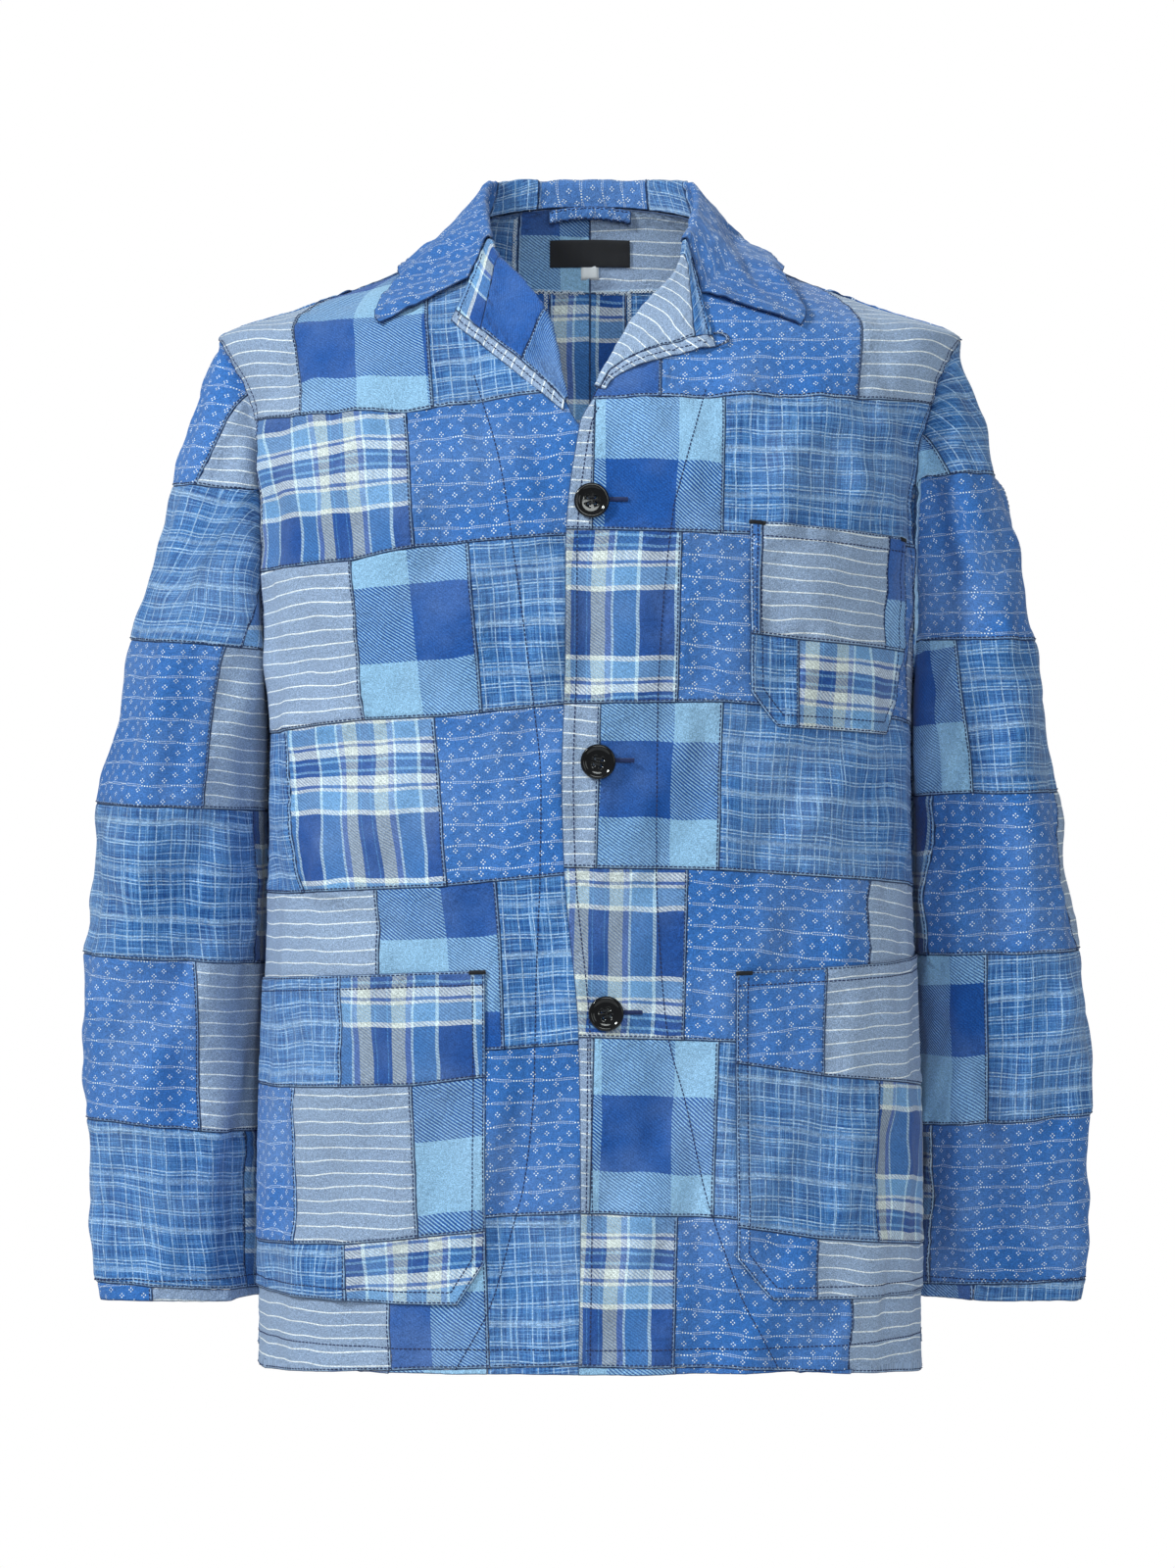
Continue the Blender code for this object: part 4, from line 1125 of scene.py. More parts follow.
def block_fabric(g, x, y, warp=None, weft=None):
    """Large blocks: warp and weft are each pale or dark, and where they differ the twill shows as lines."""
    if warp is None:
        warp = g.math("LESS_THAN", g.math("FRACT", g.mul(x, 1.0 / 90.0)), 0.5)
        weft = g.math("LESS_THAN", g.math("FRACT", g.mul(y, 1.0 / 94.0)), 0.5)
    lines = twill(g, x, y, 0.40)
    share = g.add(g.mul(lines, warp), g.mul(g.sub(1.0, lines), weft))
    pale = g.mix(g.ramp(lines, 0.0, 1.0, 0.0, 0.45), block_light, block_pale_yarn)
    dark = g.mix(g.ramp(lines, 0.0, 1.0, 0.0, 0.30), block_dark, shade("3668B0"))
    return g.mix(share, dark, pale), weave_bump(g, x, y, 0.6, 1.0)


def plaid_fabric(g, x, y):
    warp, weft = g.bands(x, plaid_warp), g.bands(y, plaid_weft)
    share = g.add(0.30, g.mul(twill(g, x, y), 0.34))
    return g.mix(share, warp, weft), weave_bump(g, x, y, 0.6, 1.0)


fabrics = {
    "dot": dot_fabric, "stripe": stripe_fabric, "crosshatch": slub_fabric, "block": block_fabric,
    "plaid": plaid_fabric,
    "block_dark": lambda g, x, y: block_fabric(g, x, y, 0.05, 0.0),
    "block_mid": lambda g, x, y: block_fabric(g, x, y, 0.55, 0.0),
}


def cloth_material(fabric):
    if fabric == "label_black":
        return plain_material(fabric, (0.010, 0.010, 0.012), 0.75, 2.2)
    if fabric == "tab_white":
        return plain_material(fabric, (0.80, 0.82, 0.84), 0.8, 1.1)
    if fabric not in made:
        g = Graph(f"{fabric}_cloth")
        x, y = g.cloth_place()
        colour, normal = fabrics[fabric](g, x, y)
        made[fabric] = g.finish(wear_and_painted_shade(g, colour, x, y), 0.88, normal)
    return made[fabric]


thread_colours = {
    "thread_navy": navy_thread, "thread_pale": shade("C4D4E4"), "thread_black": (0.004, 0.005, 0.008),
}


def thread_material(name):
    if name not in made:
        g = Graph(name)
        colour = thread_colours[name]
        place = g.object_place()
        twist = g.noise(place, 2600.0, 1.0)
        tint = g.mix(g.ramp(twist, 0.3, 0.7, 0.0, 0.5), colour, tuple(min(c * 2.2, 1.0) for c in colour))
        made[name] = g.finish(tint, 0.62, g.bump(twist, 0.0001, 0.6), 0.1, 0.3)
    return made[name]


# Layout of the fronts: seams from top to bottom and, in each row, fabrics from the centre to the side.
# A row lists a fabric, the pixel column where it ends (None is the panel's edge) and its pattern's start.
front_seams = {
    -1: (((270, 428), (414, 420), (446, 415), (534, 403), (590, 397)),
         ((276, 583), (358, 572), (428, 558), (572, 546)), ((282, 748), (371, 735), (446, 732), (572, 719)),
         ((285, 912), (450, 905), (573, 893)), ((283, 1076), (497, 1072), (595, 1065)),
         ((265, 1240), (497, 1243), (592, 1238)), ((268, 1396), (430, 1397), (590, 1394))),
    1: (((612, 408), (740, 403), (950, 411)), ((585, 540), (740, 544), (935, 560)),
        ((575, 718), (735, 716), (937, 742)), ((575, 885), (735, 888), (937, 905)),
        ((575, 1058), (750, 1063), (945, 1080)), ((590, 1238), (740, 1243), (950, 1265)),
        ((590, 1395), (740, 1396), (950, 1403))),
}
front_rows = {
    -1: ((("crosshatch", 437), ("block", 313, (365, 457)), ("stripe", None)),
         (("dot", 418), ("plaid", None, (343, 474))),
         (("crosshatch", 485), ("block", 362, (363, 753)), ("stripe", None)),
         (("dot", 450), ("plaid", 297, (374, 782)), ("crosshatch", None)),
         (("crosshatch", 512), ("block", 388, (388, 1035)), ("stripe", None)),
         (("dot", 470), ("crosshatch", 380), ("plaid", None)),
         (("crosshatch", 497), ("block", 400, (440, 1320)), ("stripe", None)),
         (("crosshatch", 497), ("block", 400), ("stripe", None))),
    1: ((("stripe", 602), ("block_dark", 676), ("dot", 868), ("stripe", None)),
        (("stripe", 606), ("block", 740, (692, 470)), ("crosshatch", None)),
        (("plaid", 694, (595, 553)), ("dot", 931), ("stripe", None)),
        (("stripe", 611), ("block", 735, (687, 758)), ("crosshatch", None)),
        (("plaid", 700, (608, 1044)), ("dot", 885), ("stripe", None)),
        (("stripe", 604), ("block", 730, (687, 1120)), ("crosshatch", None)),
        (("plaid", 690, (607, 1285)), ("dot", 866), ("stripe", None)),
        (("block", 690), ("dot", 866), ("stripe", None))),
}

# Layout of the backs: levels of the seams, and rows whose fabrics end at a length from the centre back
back_seams = (-0.037, -0.126, -0.226, -0.325, -0.428, -0.533, -0.636, -0.712)
back_rows = {
    -1: ((("block", 0.049, (571, 311)), ("crosshatch", None)),
         (("plaid", 0.027, (556, 303)), ("block_dark", 0.076), ("crosshatch", 0.160), ("stripe", None)),
         (("stripe", 0.072), ("dot", 0.168), ("block", None)),
         (("block", 0.088), ("crosshatch", 0.190), ("plaid", None)),
         (("dot", 0.082), ("plaid", 0.176), ("stripe", None)),
         (("crosshatch", 0.098), ("stripe", 0.186), ("dot", None)),
         (("plaid", 0.090), ("dot", 0.192), ("block", None)),
         (("stripe", 0.080), ("block", 0.170), ("crosshatch", None)),
         (("stripe", 0.080), ("block", 0.170), ("crosshatch", None))),
    1: ((("stripe", 0.075), ("dot", None)),
        (("plaid", 0.024, (556, 303)), ("crosshatch", 0.070), ("dot", 0.156), ("crosshatch", None)),
        (("crosshatch", 0.084), ("plaid", 0.172), ("stripe", None)),
        (("dot", 0.096), ("stripe", 0.184), ("block", None)),
        (("stripe", 0.074), ("crosshatch", 0.178), ("dot", None)),
        (("plaid", 0.092), ("block", 0.182), ("crosshatch", None)),
        (("crosshatch", 0.086), ("stripe", 0.180), ("plaid", None)),
        (("dot", 0.094), ("plaid", 0.186), ("stripe", None)),
        (("dot", 0.094), ("plaid", 0.186), ("stripe", None))),
}


def constant(value):
    """The same value at every place."""
    return lambda place: np.full(np.shape(place), value)


def seam_curve(points, side):
    places = sorted(from_picture(px, py, side) for px, py in points)
    lengths, levels = zip(*places)
    return lambda length: np.interp(length, lengths, levels)


# How far the columns and the warp have moved towards the side at a level: they lean in towards the hem
column_leans = {-1: ((-0.73, -0.45, 0.0), (-0.0478, -0.0380, 0.0)), 1: ((-0.73, 0.0), (-0.018, 0.0))}


def column_lean(side):
    return lambda level: np.interp(level, *column_leans[side])


def run_curve(first, last, level_of):
    """A row seam from one corner to another, as lengths and levels at a share."""
    def curve(share):
        length = first[0] + (last[0] - first[0]) * share
        return np.stack([length, level_of(length)], axis=-1)
    return curve


def rise_curve(first, last, length_of):
    """A column line from one corner to another, as lengths and levels at a share."""
    def curve(share):
        level = first[1] + (last[1] - first[1]) * share
        return np.stack([length_of(level), level], axis=-1)
    return curve


def four_sides(spot, corners, lower, upper, first, last):
    """A patch's lower, upper, first and last sides, each with its length in space."""
    c00, c10, c01, c11 = corners
    return (evened(spot, run_curve(c00, c10, lower)), evened(spot, run_curve(c01, c11, upper)),
            evened(spot, rise_curve(c00, c01, first)), evened(spot, rise_curve(c10, c11, last)))


def sewn_edges(stitched, first_column, last_column, last_row):
    """The topstitched edges of a patch. The panel's own edges are stitched as lines of their own."""
    sewn = [way for way in stitched if not (way == "bottom" and last_row)]
    if last_column and "right" in sewn and "left" not in sewn:
        sewn.remove("right")
    if first_column and "left" in sewn:
        sewn.remove("left")
    return sewn


def grain(wrap, places, corners, lean, loose):
    """Cloth coordinates: the warp follows the columns, the weft the lower seam or a pocket's upper one."""
    c00, c10, c01, c11 = corners
    first, last = (c01, c11) if loose else (c00, c10)
    ends = wrap.rise(np.array([first[0], last[0]]), np.array([first[1], last[1]]))
    rise = wrap.rise(places[..., 0], places[..., 1])
    rise = rise - np.interp(places[..., 0], (first[0], max(last[0], first[0] + 0.001)), ends)
    return np.stack([places[..., 0] - lean(places[..., 1]) - c00[0], rise], axis=-1)


def panel_patches(cloth, side, wrap, seams, rows, inner, outer, ends, stitched, top=None, bottom=None,
                  height=0.0, lean=constant(0.0), loose=False):
    """Fills a panel with patches.

    seams, top and bottom give levels, inner and outer give lengths. A loose panel is a pocket."""
    spot = lambda length, level: body_spot(side, wrap, length, level, relief=0.0)[0]
    levels = [top or wrap.top] + list(seams) + [bottom or constant(-back_length)]
    for number, row in enumerate(rows):
        upper, lower = levels[number], levels[number + 1]
        first_row, last_row = number == 0, number == len(rows) - 1
        first = inner
        for column, (fabric, limit, *anchor) in enumerate(row):
            first_column, last_column = column == 0, limit is None
            last = outer if last_column else beyond(inner, ends(limit, upper, lower))
            middle = float(lower(np.float64(0.05))) + 0.01
            corners = [meeting(level_of, length_of, middle) for level_of in (lower, upper)
                       for length_of in (first, last)]
            if last_column and first_row and top is None:
                corners[3] = (float(last(-shoulder_drop)), -shoulder_drop)
            sides = four_sides(spot, corners, lower, upper, first, last)
            wide, high = max(sides[0][0], sides[1][0]), max(sides[2][0], sides[3][0])
            places = filled(*[curve for _, curve in sides], stops(wide, cloth.cell), stops(high, cloth.cell))
            base, normal = body_spot(side, wrap, places[..., 0], places[..., 1], height)
            outside = {"left": first_column, "right": last_column, "top": first_row, "bottom": last_row}
            cloth.patch(fabric, base, normal, sewn_edges(stitched, first_column, last_column, last_row),
                        ease=0.5 if loose else 1.5 if last_row else 1.0, anchor=anchor[0] if anchor else None,
                        flip_u=side < 0, straight=grain(wrap, places, corners, lean, loose),
                        free=[way for way in outside if outside[way] and loose])
            first = last


def beyond(inner, line):
    """A column line, kept from crossing the panel's inner edge."""
    return lambda level: np.maximum(line(level), inner(level))


def column_from_picture(side):
    def ends(px, upper, lower):
        level = float(lower(np.float64(0.08)) + upper(np.float64(0.08))) / 2
        py = picture[1] / 2 + (camera_z - level) * focal_pixels / (camera_distance - 0.11)
        length, lean = from_picture(px, py, side)[0], column_lean(side)
        return lambda z: length + lean(z) - lean(level)
    return ends


def column_from_length(limit, upper, lower):
    return constant(limit)


def dress(obj, cloth, node, flat):
    """Attaches a piece of cloth that stands for a solid, and hides the solid."""
    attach(obj, "root")
    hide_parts(node)
    area = min(max(cloth.area, 0.301 * flat[0] * flat[1]), flat[0] * flat[1])


def picture_line(points, side, cloth, count=160):
    """A line drawn in the picture and laid on a front."""
    p = np.array([from_picture(px, py, side) for px, py in points])
    run = run_along(np.stack([p[:, 0], p[:, 1], 0 * p[:, 0]], axis=-1))
    at = np.linspace(0, run[-1], count)
    length, level = through(run, p[:, 0], at), through(run, p[:, 1], at)
    return cloth.laid(body_spot(side, front_wrap, length, level)[0])


facing_lines = {
    -1: ((483, 380), (510, 472), (526, 575), (545, 724), (552, 800), (551, 900), (546, 1020), (545, 1100),
         (534, 1207), (520, 1261), (502, 1328), (464, 1400)),
    1: ((721, 394), (692, 499), (687, 518), (671, 724), (670, 884), (680, 1044), (700, 1127), (721, 1221),
        (751, 1312), (794, 1399)),
}


def edge_line(side, first, last, inset, cloth, count=240):
    """A line that runs beside the front edge."""
    level = np.linspace(first, last, count)
    length = front_wrap.length(inner_angle(side, level), level) + inset
    return cloth.laid(body_spot(side, front_wrap, length, level)[0])


def hem_line(side, wrap, rise, low, high, cloth, count=240):
    length = np.linspace(low, high, count)
    level = np.full(count, -back_length + rise)
    return cloth.laid(body_spot(side, wrap, length, level)[0])


def armhole_line(side, wrap, cut, inset, cloth, count=120):
    turn = np.linspace(0.03, 0.97, count)
    level = armhole_middle - armhole_half * np.cos(math.pi * turn)
    length = wrap.length(armhole_angle(level, cut) * (-1 if wrap is front_wrap else 1), level) - inset
    return cloth.laid(body_spot(side, wrap, length, level)[0])


def length_property(name, description, default, precision):
    return bpy.props.FloatProperty(name=name, description=description, default=default, unit="LENGTH",
                                   precision=precision)


class JacketSettings(bpy.types.PropertyGroup):
    """Sizes that a user would change."""
    cloth: length_property("Cloth", "Thickness of the cloth", 0.0010, 4)
    cell: length_property("Cell", "Width of a mesh cell inside a patch", 0.0038, 4)
    groove: length_property("Groove", "Depth of the cloth at a seam", 0.00055, 5)
    ridge: length_property("Ridge", "Height of the turned allowance beside a seam", 0.00045, 5)
    pucker: length_property("Pucker", "Height of the gathers along a seam", 0.00070, 5)
    stitch_pitch: length_property("Stitch", "Length from one stitch to the next", 0.0029, 4)
    thread: length_property("Thread", "Thickness of the sewing thread", 0.00080, 5)


# Topstitching lines of the fronts and backs, as distances from the edge that they follow
hem_stitch = 0.0155
edge_stitch = 0.0072
armhole_stitches = (0.0018, 0.0075)
centre_stitches = (0.0016, 0.0070)


class JACKET_OT_fronts(bpy.types.Operator):
    """Builds both fronts from their patches, with the facing, edge and hem stitching"""
    bl_idname = "jacket.fronts"
    bl_label = "Fronts"

    def execute(self, context):
        settings = context.scene.jacket
        for side, name in ((1, "front_left"), (-1, "front_right")):
            cloth = Cloth(f"{name}_patches", settings)
            seams = [seam_curve(points, side) for points in front_seams[side]]
            inner = lambda z: front_wrap.length(inner_angle(side, z), z)
            outer = lambda z: front_wrap.length(-armhole_angle(z, front_cut), z)
            panel_patches(cloth, side, front_wrap, seams, front_rows[side], inner, outer,
                          column_from_picture(side), ("right" if side > 0 else "left", "bottom"),
                          lean=column_lean(side))
            obj = cloth.build()
            dress(obj, cloth, name, (0.34, 0.74))
            lines = list(cloth.lines)
            lines.append(picture_line(facing_lines[side], side, cloth))
            if side > 0:
                lines.append(edge_line(side, -0.118, -0.716, edge_stitch, cloth))
            reach = float(front_wrap.length(0.0, -back_length))
            start = float(front_wrap.length(inner_angle(side, -back_length), -back_length))
            lines.append(hem_line(side, front_wrap, hem_stitch, start + 0.004, reach, cloth))
            for inset in armhole_stitches:
                lines.append(armhole_line(side, front_wrap, front_cut, inset, cloth))
            stitches(f"{name}_stitching", cloth, lines, settings)
        return {"FINISHED"}


class JACKET_OT_backs(bpy.types.Operator):
    """Builds both backs from their patches"""
    bl_idname = "jacket.backs"
    bl_label = "Backs"

    def execute(self, context):
        settings = context.scene.jacket
        for side, name in ((1, "back_left"), (-1, "back_right")):
            cloth = Cloth(f"{name}_patches", settings)
            seams = [self.row_seam(number, level) for number, level in enumerate(back_seams)]
            outer = lambda z: back_wrap.length(armhole_angle(z, back_cut), z)
            panel_patches(cloth, side, back_wrap, seams, back_rows[side], constant(0.0), outer,
                          column_from_length, ("right", "bottom"))
            obj = cloth.build()
            dress(obj, cloth, name, (0.34, 0.76))
            lines = list(cloth.lines)
            level = np.linspace(-0.004, -0.716, 240)
            for inset in centre_stitches:
                lines.append(cloth.laid(body_spot(side, back_wrap, np.full(240, inset), level)[0]))
            reach = float(back_wrap.length(0.0, -back_length))
            lines.append(hem_line(side, back_wrap, hem_stitch, 0.0, reach, cloth))
            for inset in armhole_stitches:
                lines.append(armhole_line(side, back_wrap, back_cut, inset, cloth))
            stitches(f"{name}_stitching", cloth, lines, settings)
            overlock(f"{name}_overlock", cloth, self.inner_seams(side, seams), settings.cloth)
        return {"FINISHED"}

    def row_seam(self, number, level):
        """A seam across the back that slants a little, one way and the other by turns."""
        slant = 0.02 * (-1) ** number
        return lambda length: level + slant * (np.asarray(length) - 0.1)

    def inner_seams(self, side, seams):
        """The seams that show inside the back neck: the first row's lower one and the columns beside it."""
        across = np.linspace(0.004, 0.125, 200)
        places = [(across, seams[0](across))]
        if side < 0:
            places.append((np.full(60, 0.0515), np.linspace(-0.004, -0.036, 60)))
        column = back_rows[side][1][0][1] + 0.0025
        places.append((np.full(120, column), np.linspace(-0.038, -0.120, 120)))
        return [body_spot(side, back_wrap, length, level)[0] for length, level in places]


# Sleeves: seams from top to bottom as two pixels each, and fabrics from the underarm round the front.
# A number is a pixel column on the front half, or a share of the way round past it.
sleeve_seams = {
    -1: (((180, 497), (272, 505)), ((152, 655), (275, 665)), ((120, 822), (280, 828)),
         ((97, 975), (283, 985)), ((85, 1143), (275, 1158)), ((97, 1310), (272, 1320))),
    1: (((935, 490), (1012, 487)), ((940, 655), (1055, 655)), ((940, 812), (1080, 808)),
        ((945, 975), (1105, 970)), ((945, 1150), (1113, 1138)), ((945, 1315), (1103, 1307))),
}
sleeve_gap = 0.00004
sleeve_front = 0.30         # where round the sleeve the warp is set upright
cuff_stitch = 0.014
sleeve_rows = {
    -1: ((("stripe", 213), ("dot", 0.64), ("crosshatch", None)),
         (("plaid", 270), ("crosshatch", 0.56), ("block", 0.80), ("dot", None)),
         (("stripe", 216), ("dot", 0.62), ("plaid", 0.84), ("stripe", None)),
         (("plaid", 264), ("crosshatch", 0.58), ("stripe", 0.82), ("block", None)),
         (("stripe", 203), ("dot", 0.60), ("block", 0.84), ("crosshatch", None)),
         (("plaid", 250), ("crosshatch", 0.60), ("dot", 0.84), ("stripe", None)),
         (("stripe", 155), ("dot", 0.60), ("crosshatch", None))),
    1: ((("block", 960), ("crosshatch", 0.62), ("stripe", None)),
        (("dot", 0.52), ("plaid", 0.78), ("crosshatch", None)),
        (("block", 985), ("crosshatch", 0.60), ("stripe", 0.82), ("dot", None)),
        (("plaid", 946), ("dot", 1082), ("stripe", 0.70), ("block", None)),
        (("block", 1008), ("crosshatch", 0.60), ("dot", 0.84), ("plaid", None)),
        (("plaid", 953), ("dot", 0.56), ("crosshatch", 0.82), ("stripe", None)),
        (("block", 993), ("crosshatch", 0.62), ("dot", None))),
}


def sleeve_turn(px, z, side):
    """Share of the way round the sleeve where it shows at a pixel column."""
    turn = np.linspace(0.02, 0.5, 97)
    t = sleeve_down(turn, np.full(97, z), side)
    at = in_picture(sleeve_spot(side, turn, t)[0])[:, 0] * side
    order = np.maximum.accumulate(at)
    return float(np.interp(px * side, order + np.arange(97) * 1e-6, turn))


def sleeve_down(turn, z, side):
    """How far down the sleeve a height lies, 0 where the armhole is already below it."""
    outer = sleeve_outers[side]
    low, high = np.zeros(turn.shape), np.ones(turn.shape)
    for _ in range(22):
        middle = (low + high) / 2
        above = sleeve_base(turn, middle, outer)[..., 2] > z
        low, high = np.where(above, middle, low), np.where(above, high, middle)
    first = sleeve_base(turn, np.zeros(turn.shape), outer)[..., 2]
    return np.where(first <= z, 0.0, (low + high) / 2)


def sleeve_seam(points, side):
    """A seam round the sleeve as t of turn, from a slanted line in the picture."""
    scale = camera_distance / focal_pixels
    (x0, z0), (x1, z1) = [(camera_x + (px - picture[0] / 2) * scale, camera_z + (picture[1] / 2 - py) * scale)
                          for px, py in points]
    turns = np.linspace(0, 1, 97)
    outer = sleeve_outers[side]
    t = np.full(97, 0.5)
    for _ in range(4):
        x = sleeve_base(turns, t, outer)[..., 0] * side
        t = sleeve_down(turns, z0 + (z1 - z0) * (x - x0) / (x1 - x0), side)
    return lambda turn: np.interp(turn, turns, t)


class JACKET_OT_sleeves(bpy.types.Operator):
    """Builds both sleeves from their patches, with the stitching above the hems"""
    bl_idname = "jacket.sleeves"
    bl_label = "Sleeves"

    def execute(self, context):
        settings = context.scene.jacket
        for side, name in ((1, "sleeve_left"), (-1, "sleeve_right")):
            cloth = Cloth(f"{name}_patches", settings)
            outer = sleeve_outers[side]
            seams = [sleeve_seam(points, side) for points in sleeve_seams[side]]
            seams = [constant(0.0)] + seams + [constant(1.0)]
            spot = lambda turn, t: sleeve_base(turn, t, outer)
            for row, upper, lower in zip(sleeve_rows[side], seams, seams[1:]):
                middle = (float(upper(sleeve_front)) + float(lower(sleeve_front))) / 2
                middle_z = float(sleeve_base(sleeve_front, middle, outer)[..., 2])
                start = 0.0
                for fabric, limit in row:
                    end = 1.0 if limit is None else limit if limit < 1 else sleeve_turn(limit, middle_z, side)
                    self.patch(cloth, side, fabric, start, end, upper, lower, spot, lower is seams[-1])
                    start = end
            obj = cloth.build()
            dress(obj, cloth, name, (0.42, 0.64))
            lines = list(cloth.lines)
            turn = np.linspace(0, 1, 300)
            t = sleeve_down(turn, np.full(300, -cuff_level + cuff_stitch), side)
            lines.append(cloth.laid(sleeve_spot(side, turn, t)[0]))
            stitches(f"{name}_stitching", cloth, lines, settings)
        return {"FINISHED"}

    def patch(self, cloth, side, fabric, start, end, upper, lower, spot, last_row):
        a, b = start + sleeve_gap, end - sleeve_gap
        corners = [(turn, float(seam(turn))) for seam in (lower, upper) for turn in (a, b)]
        sides = four_sides(spot, corners, lower, upper, constant(a), constant(b))
        middle = (a + b) / 2
        down = run_along(spot(np.full(9, middle), np.linspace(float(lower(middle)), float(upper(middle)), 9)))
        wide, high = max(sides[0][0], sides[1][0]), max(float(down[-1]), sides[2][0], sides[3][0])
        if high < 0.002:
            return
        places = filled(*[curve for _, curve in sides], stops(wide, cloth.cell), stops(high, cloth.cell))
        places[..., 1] = np.clip(places[..., 1], 0, 1)
        base, normal = sleeve_spot(side, places[..., 0], places[..., 1])
        smooth_cloth = spot(places[..., 0], places[..., 1])
        around = run_along(smooth_cloth, axis=1)
        front = np.argmin(np.abs(places[len(places) // 2, :, 0] - sleeve_front))
        straight = np.stack([around - around[:, front:front + 1], run_along(smooth_cloth, axis=0)], axis=-1)
        sewn = ["left" if side < 0 else "right"] + ([] if last_row else ["bottom"])
        cloth.patch(fabric, base, normal, sewn, flip_u=side < 0, straight=straight,
                    ease=1.5 if last_row else 1.0)


# Lapels: the level at which each starts, and the outer edge from there to the corner, as x, z
lapel_starts = {1: -0.1060, -1: -0.1125}
lapel_lines = {
    1: ((0.0095, -0.1075), (0.0150, -0.1000), (0.0323, -0.0912), (0.0512, -0.0850), (0.0793, -0.0790)),
    -1: ((0.0165, -0.1210), (0.0311, -0.1090), (0.0573, -0.0870), (0.0878, -0.0614)),
}
gorge_gap = 0.0006
lapel_stitch = 0.0042
notch_share = 0.5         # the notch's place on the line from the roll to the lapel's corner
lapel_shares = tuple(np.linspace(0.08, 0.5, 6)) + tuple(np.linspace(0.56, 1.0, 8))
roll_steps = 8


def along_line(points, share):
    p = np.array(points)
    length = run_along(p)
    return through_points(length / length[-1], p, share)


def edge_frame(side, level, toward, lift):
    """The front's edge at a level: point, normal, the way across the lapel and the way up the roll."""
    angle = inner_angle(side, level)
    point = lifted(angle, level, lift * over(side, angle, level))
    normal = outward(angle, level)
    high, low = np.minimum(level + 0.004, 0), level - 0.004
    roll = unit(body(inner_angle(side, high), high) - body(inner_angle(side, low), low))
    t_angle, t_level = front_place(*toward)
    across = body(t_angle, t_level) - body(angle, level)
    across = across - np.sum(across * roll) * roll
    across = unit(across - np.sum(across * normal) * normal)
    return point, unit(np.cross(roll, across)) * np.sign(np.dot(np.cross(roll, across), normal)), across, roll


def turn_points(point, normal, across, radius):
    """From the front's edge out, round the roll and back above the front."""
    rows = [point - across * seam_gap]
    centre = point - across * (seam_gap + roll_flat) + normal * radius
    for a in np.linspace(0, math.pi, roll_steps + 1):
        rows.append(centre - across * (radius * math.sin(a)) - normal * (radius * math.cos(a)))
    return rows


def lapel_top(side, a, w, share, radius, lift):
    """A point of the lapel above the front, at this share of the way from the roll to its outer edge."""
    x, z = a + (w - a) * share
    angle, level = front_place(x, z)
    return lifted(angle, level, lift * over(side, angle, level) + 2 * radius * (1 - share) + 0.0020 * share)


def lapel_points(side, first, outer_line, lift):
    """Rows across the lapel, from the break up to the gorge. A row's width is never nothing."""
    rows = []
    levels = first * (1 - np.linspace(0, 1, 46))
    edges = body(inner_angle(side, levels), levels)
    run = run_along(edges)
    for level, start, p in zip(levels, edges, run / run[-1]):
        w = along_line(outer_line, p)
        point, normal, across, roll = edge_frame(side, level, w, lift)
        radius = roll_radius * (0.45 + 0.55 * float(smooth(0, 0.35, p)))
        row = turn_points(point, normal, across, radius)
        for q in lapel_shares:
            row.append(lapel_top(side, start[[0, 2]], w, q, radius, lift))
        row = np.array(row)
        if p == 1:
            row = row - roll * gorge_gap
        rows.append(row)
    return np.array(rows)


# Collar, from the centre back (0) to the gorge (1)
collar_knots = (0.0, 0.20, 0.38, 0.52, 0.68, 0.84, 1.0)
seam_angles = (90.0, 66.0, 42.0, 24.0, 6.0, -14.0)
crease = ((0.0, 0.080, 0.0465), (0.031, 0.079, 0.0465), (0.0555, 0.068, 0.0455), (0.0675, 0.046, 0.0405),
          (0.0690, 0.016, 0.0270), (0.0660, -0.017, 0.0100))
crease_out = ((0, 1, 0), (0.15, 0.98, 0.05), (0.62, 0.78, 0.05), (0.93, 0.35, 0.1), (1, 0, 0.15),
              (0.93, -0.25, 0.30))
crease_up = ((0, 0, 1), (0, 0, 1), (-0.05, -0.05, 1), (-0.15, 0, 0.98), (-0.25, 0, 0.95),
             (-0.45, -0.15, 0.85))
fall_middle = ((0.0, 0.0935, 0.016), (0.038, 0.0915, 0.0155), (0.072, 0.081, 0.013), (0.0905, 0.055, 0.009),
               (0.0985, 0.017, 0.001), (0.0950, -0.020, -0.009))
fall_angle = (90.0, 66.0, 45.0, 29.0, 9.0, -13.0)
fall_level = (-0.0330, -0.0325, -0.0300, -0.0265, -0.0215, -0.0260)
collar_point = (0.1330, -0.0640)
fall_shares = tuple(np.linspace(0, 1, 17)[1:])
stand_rows = 8


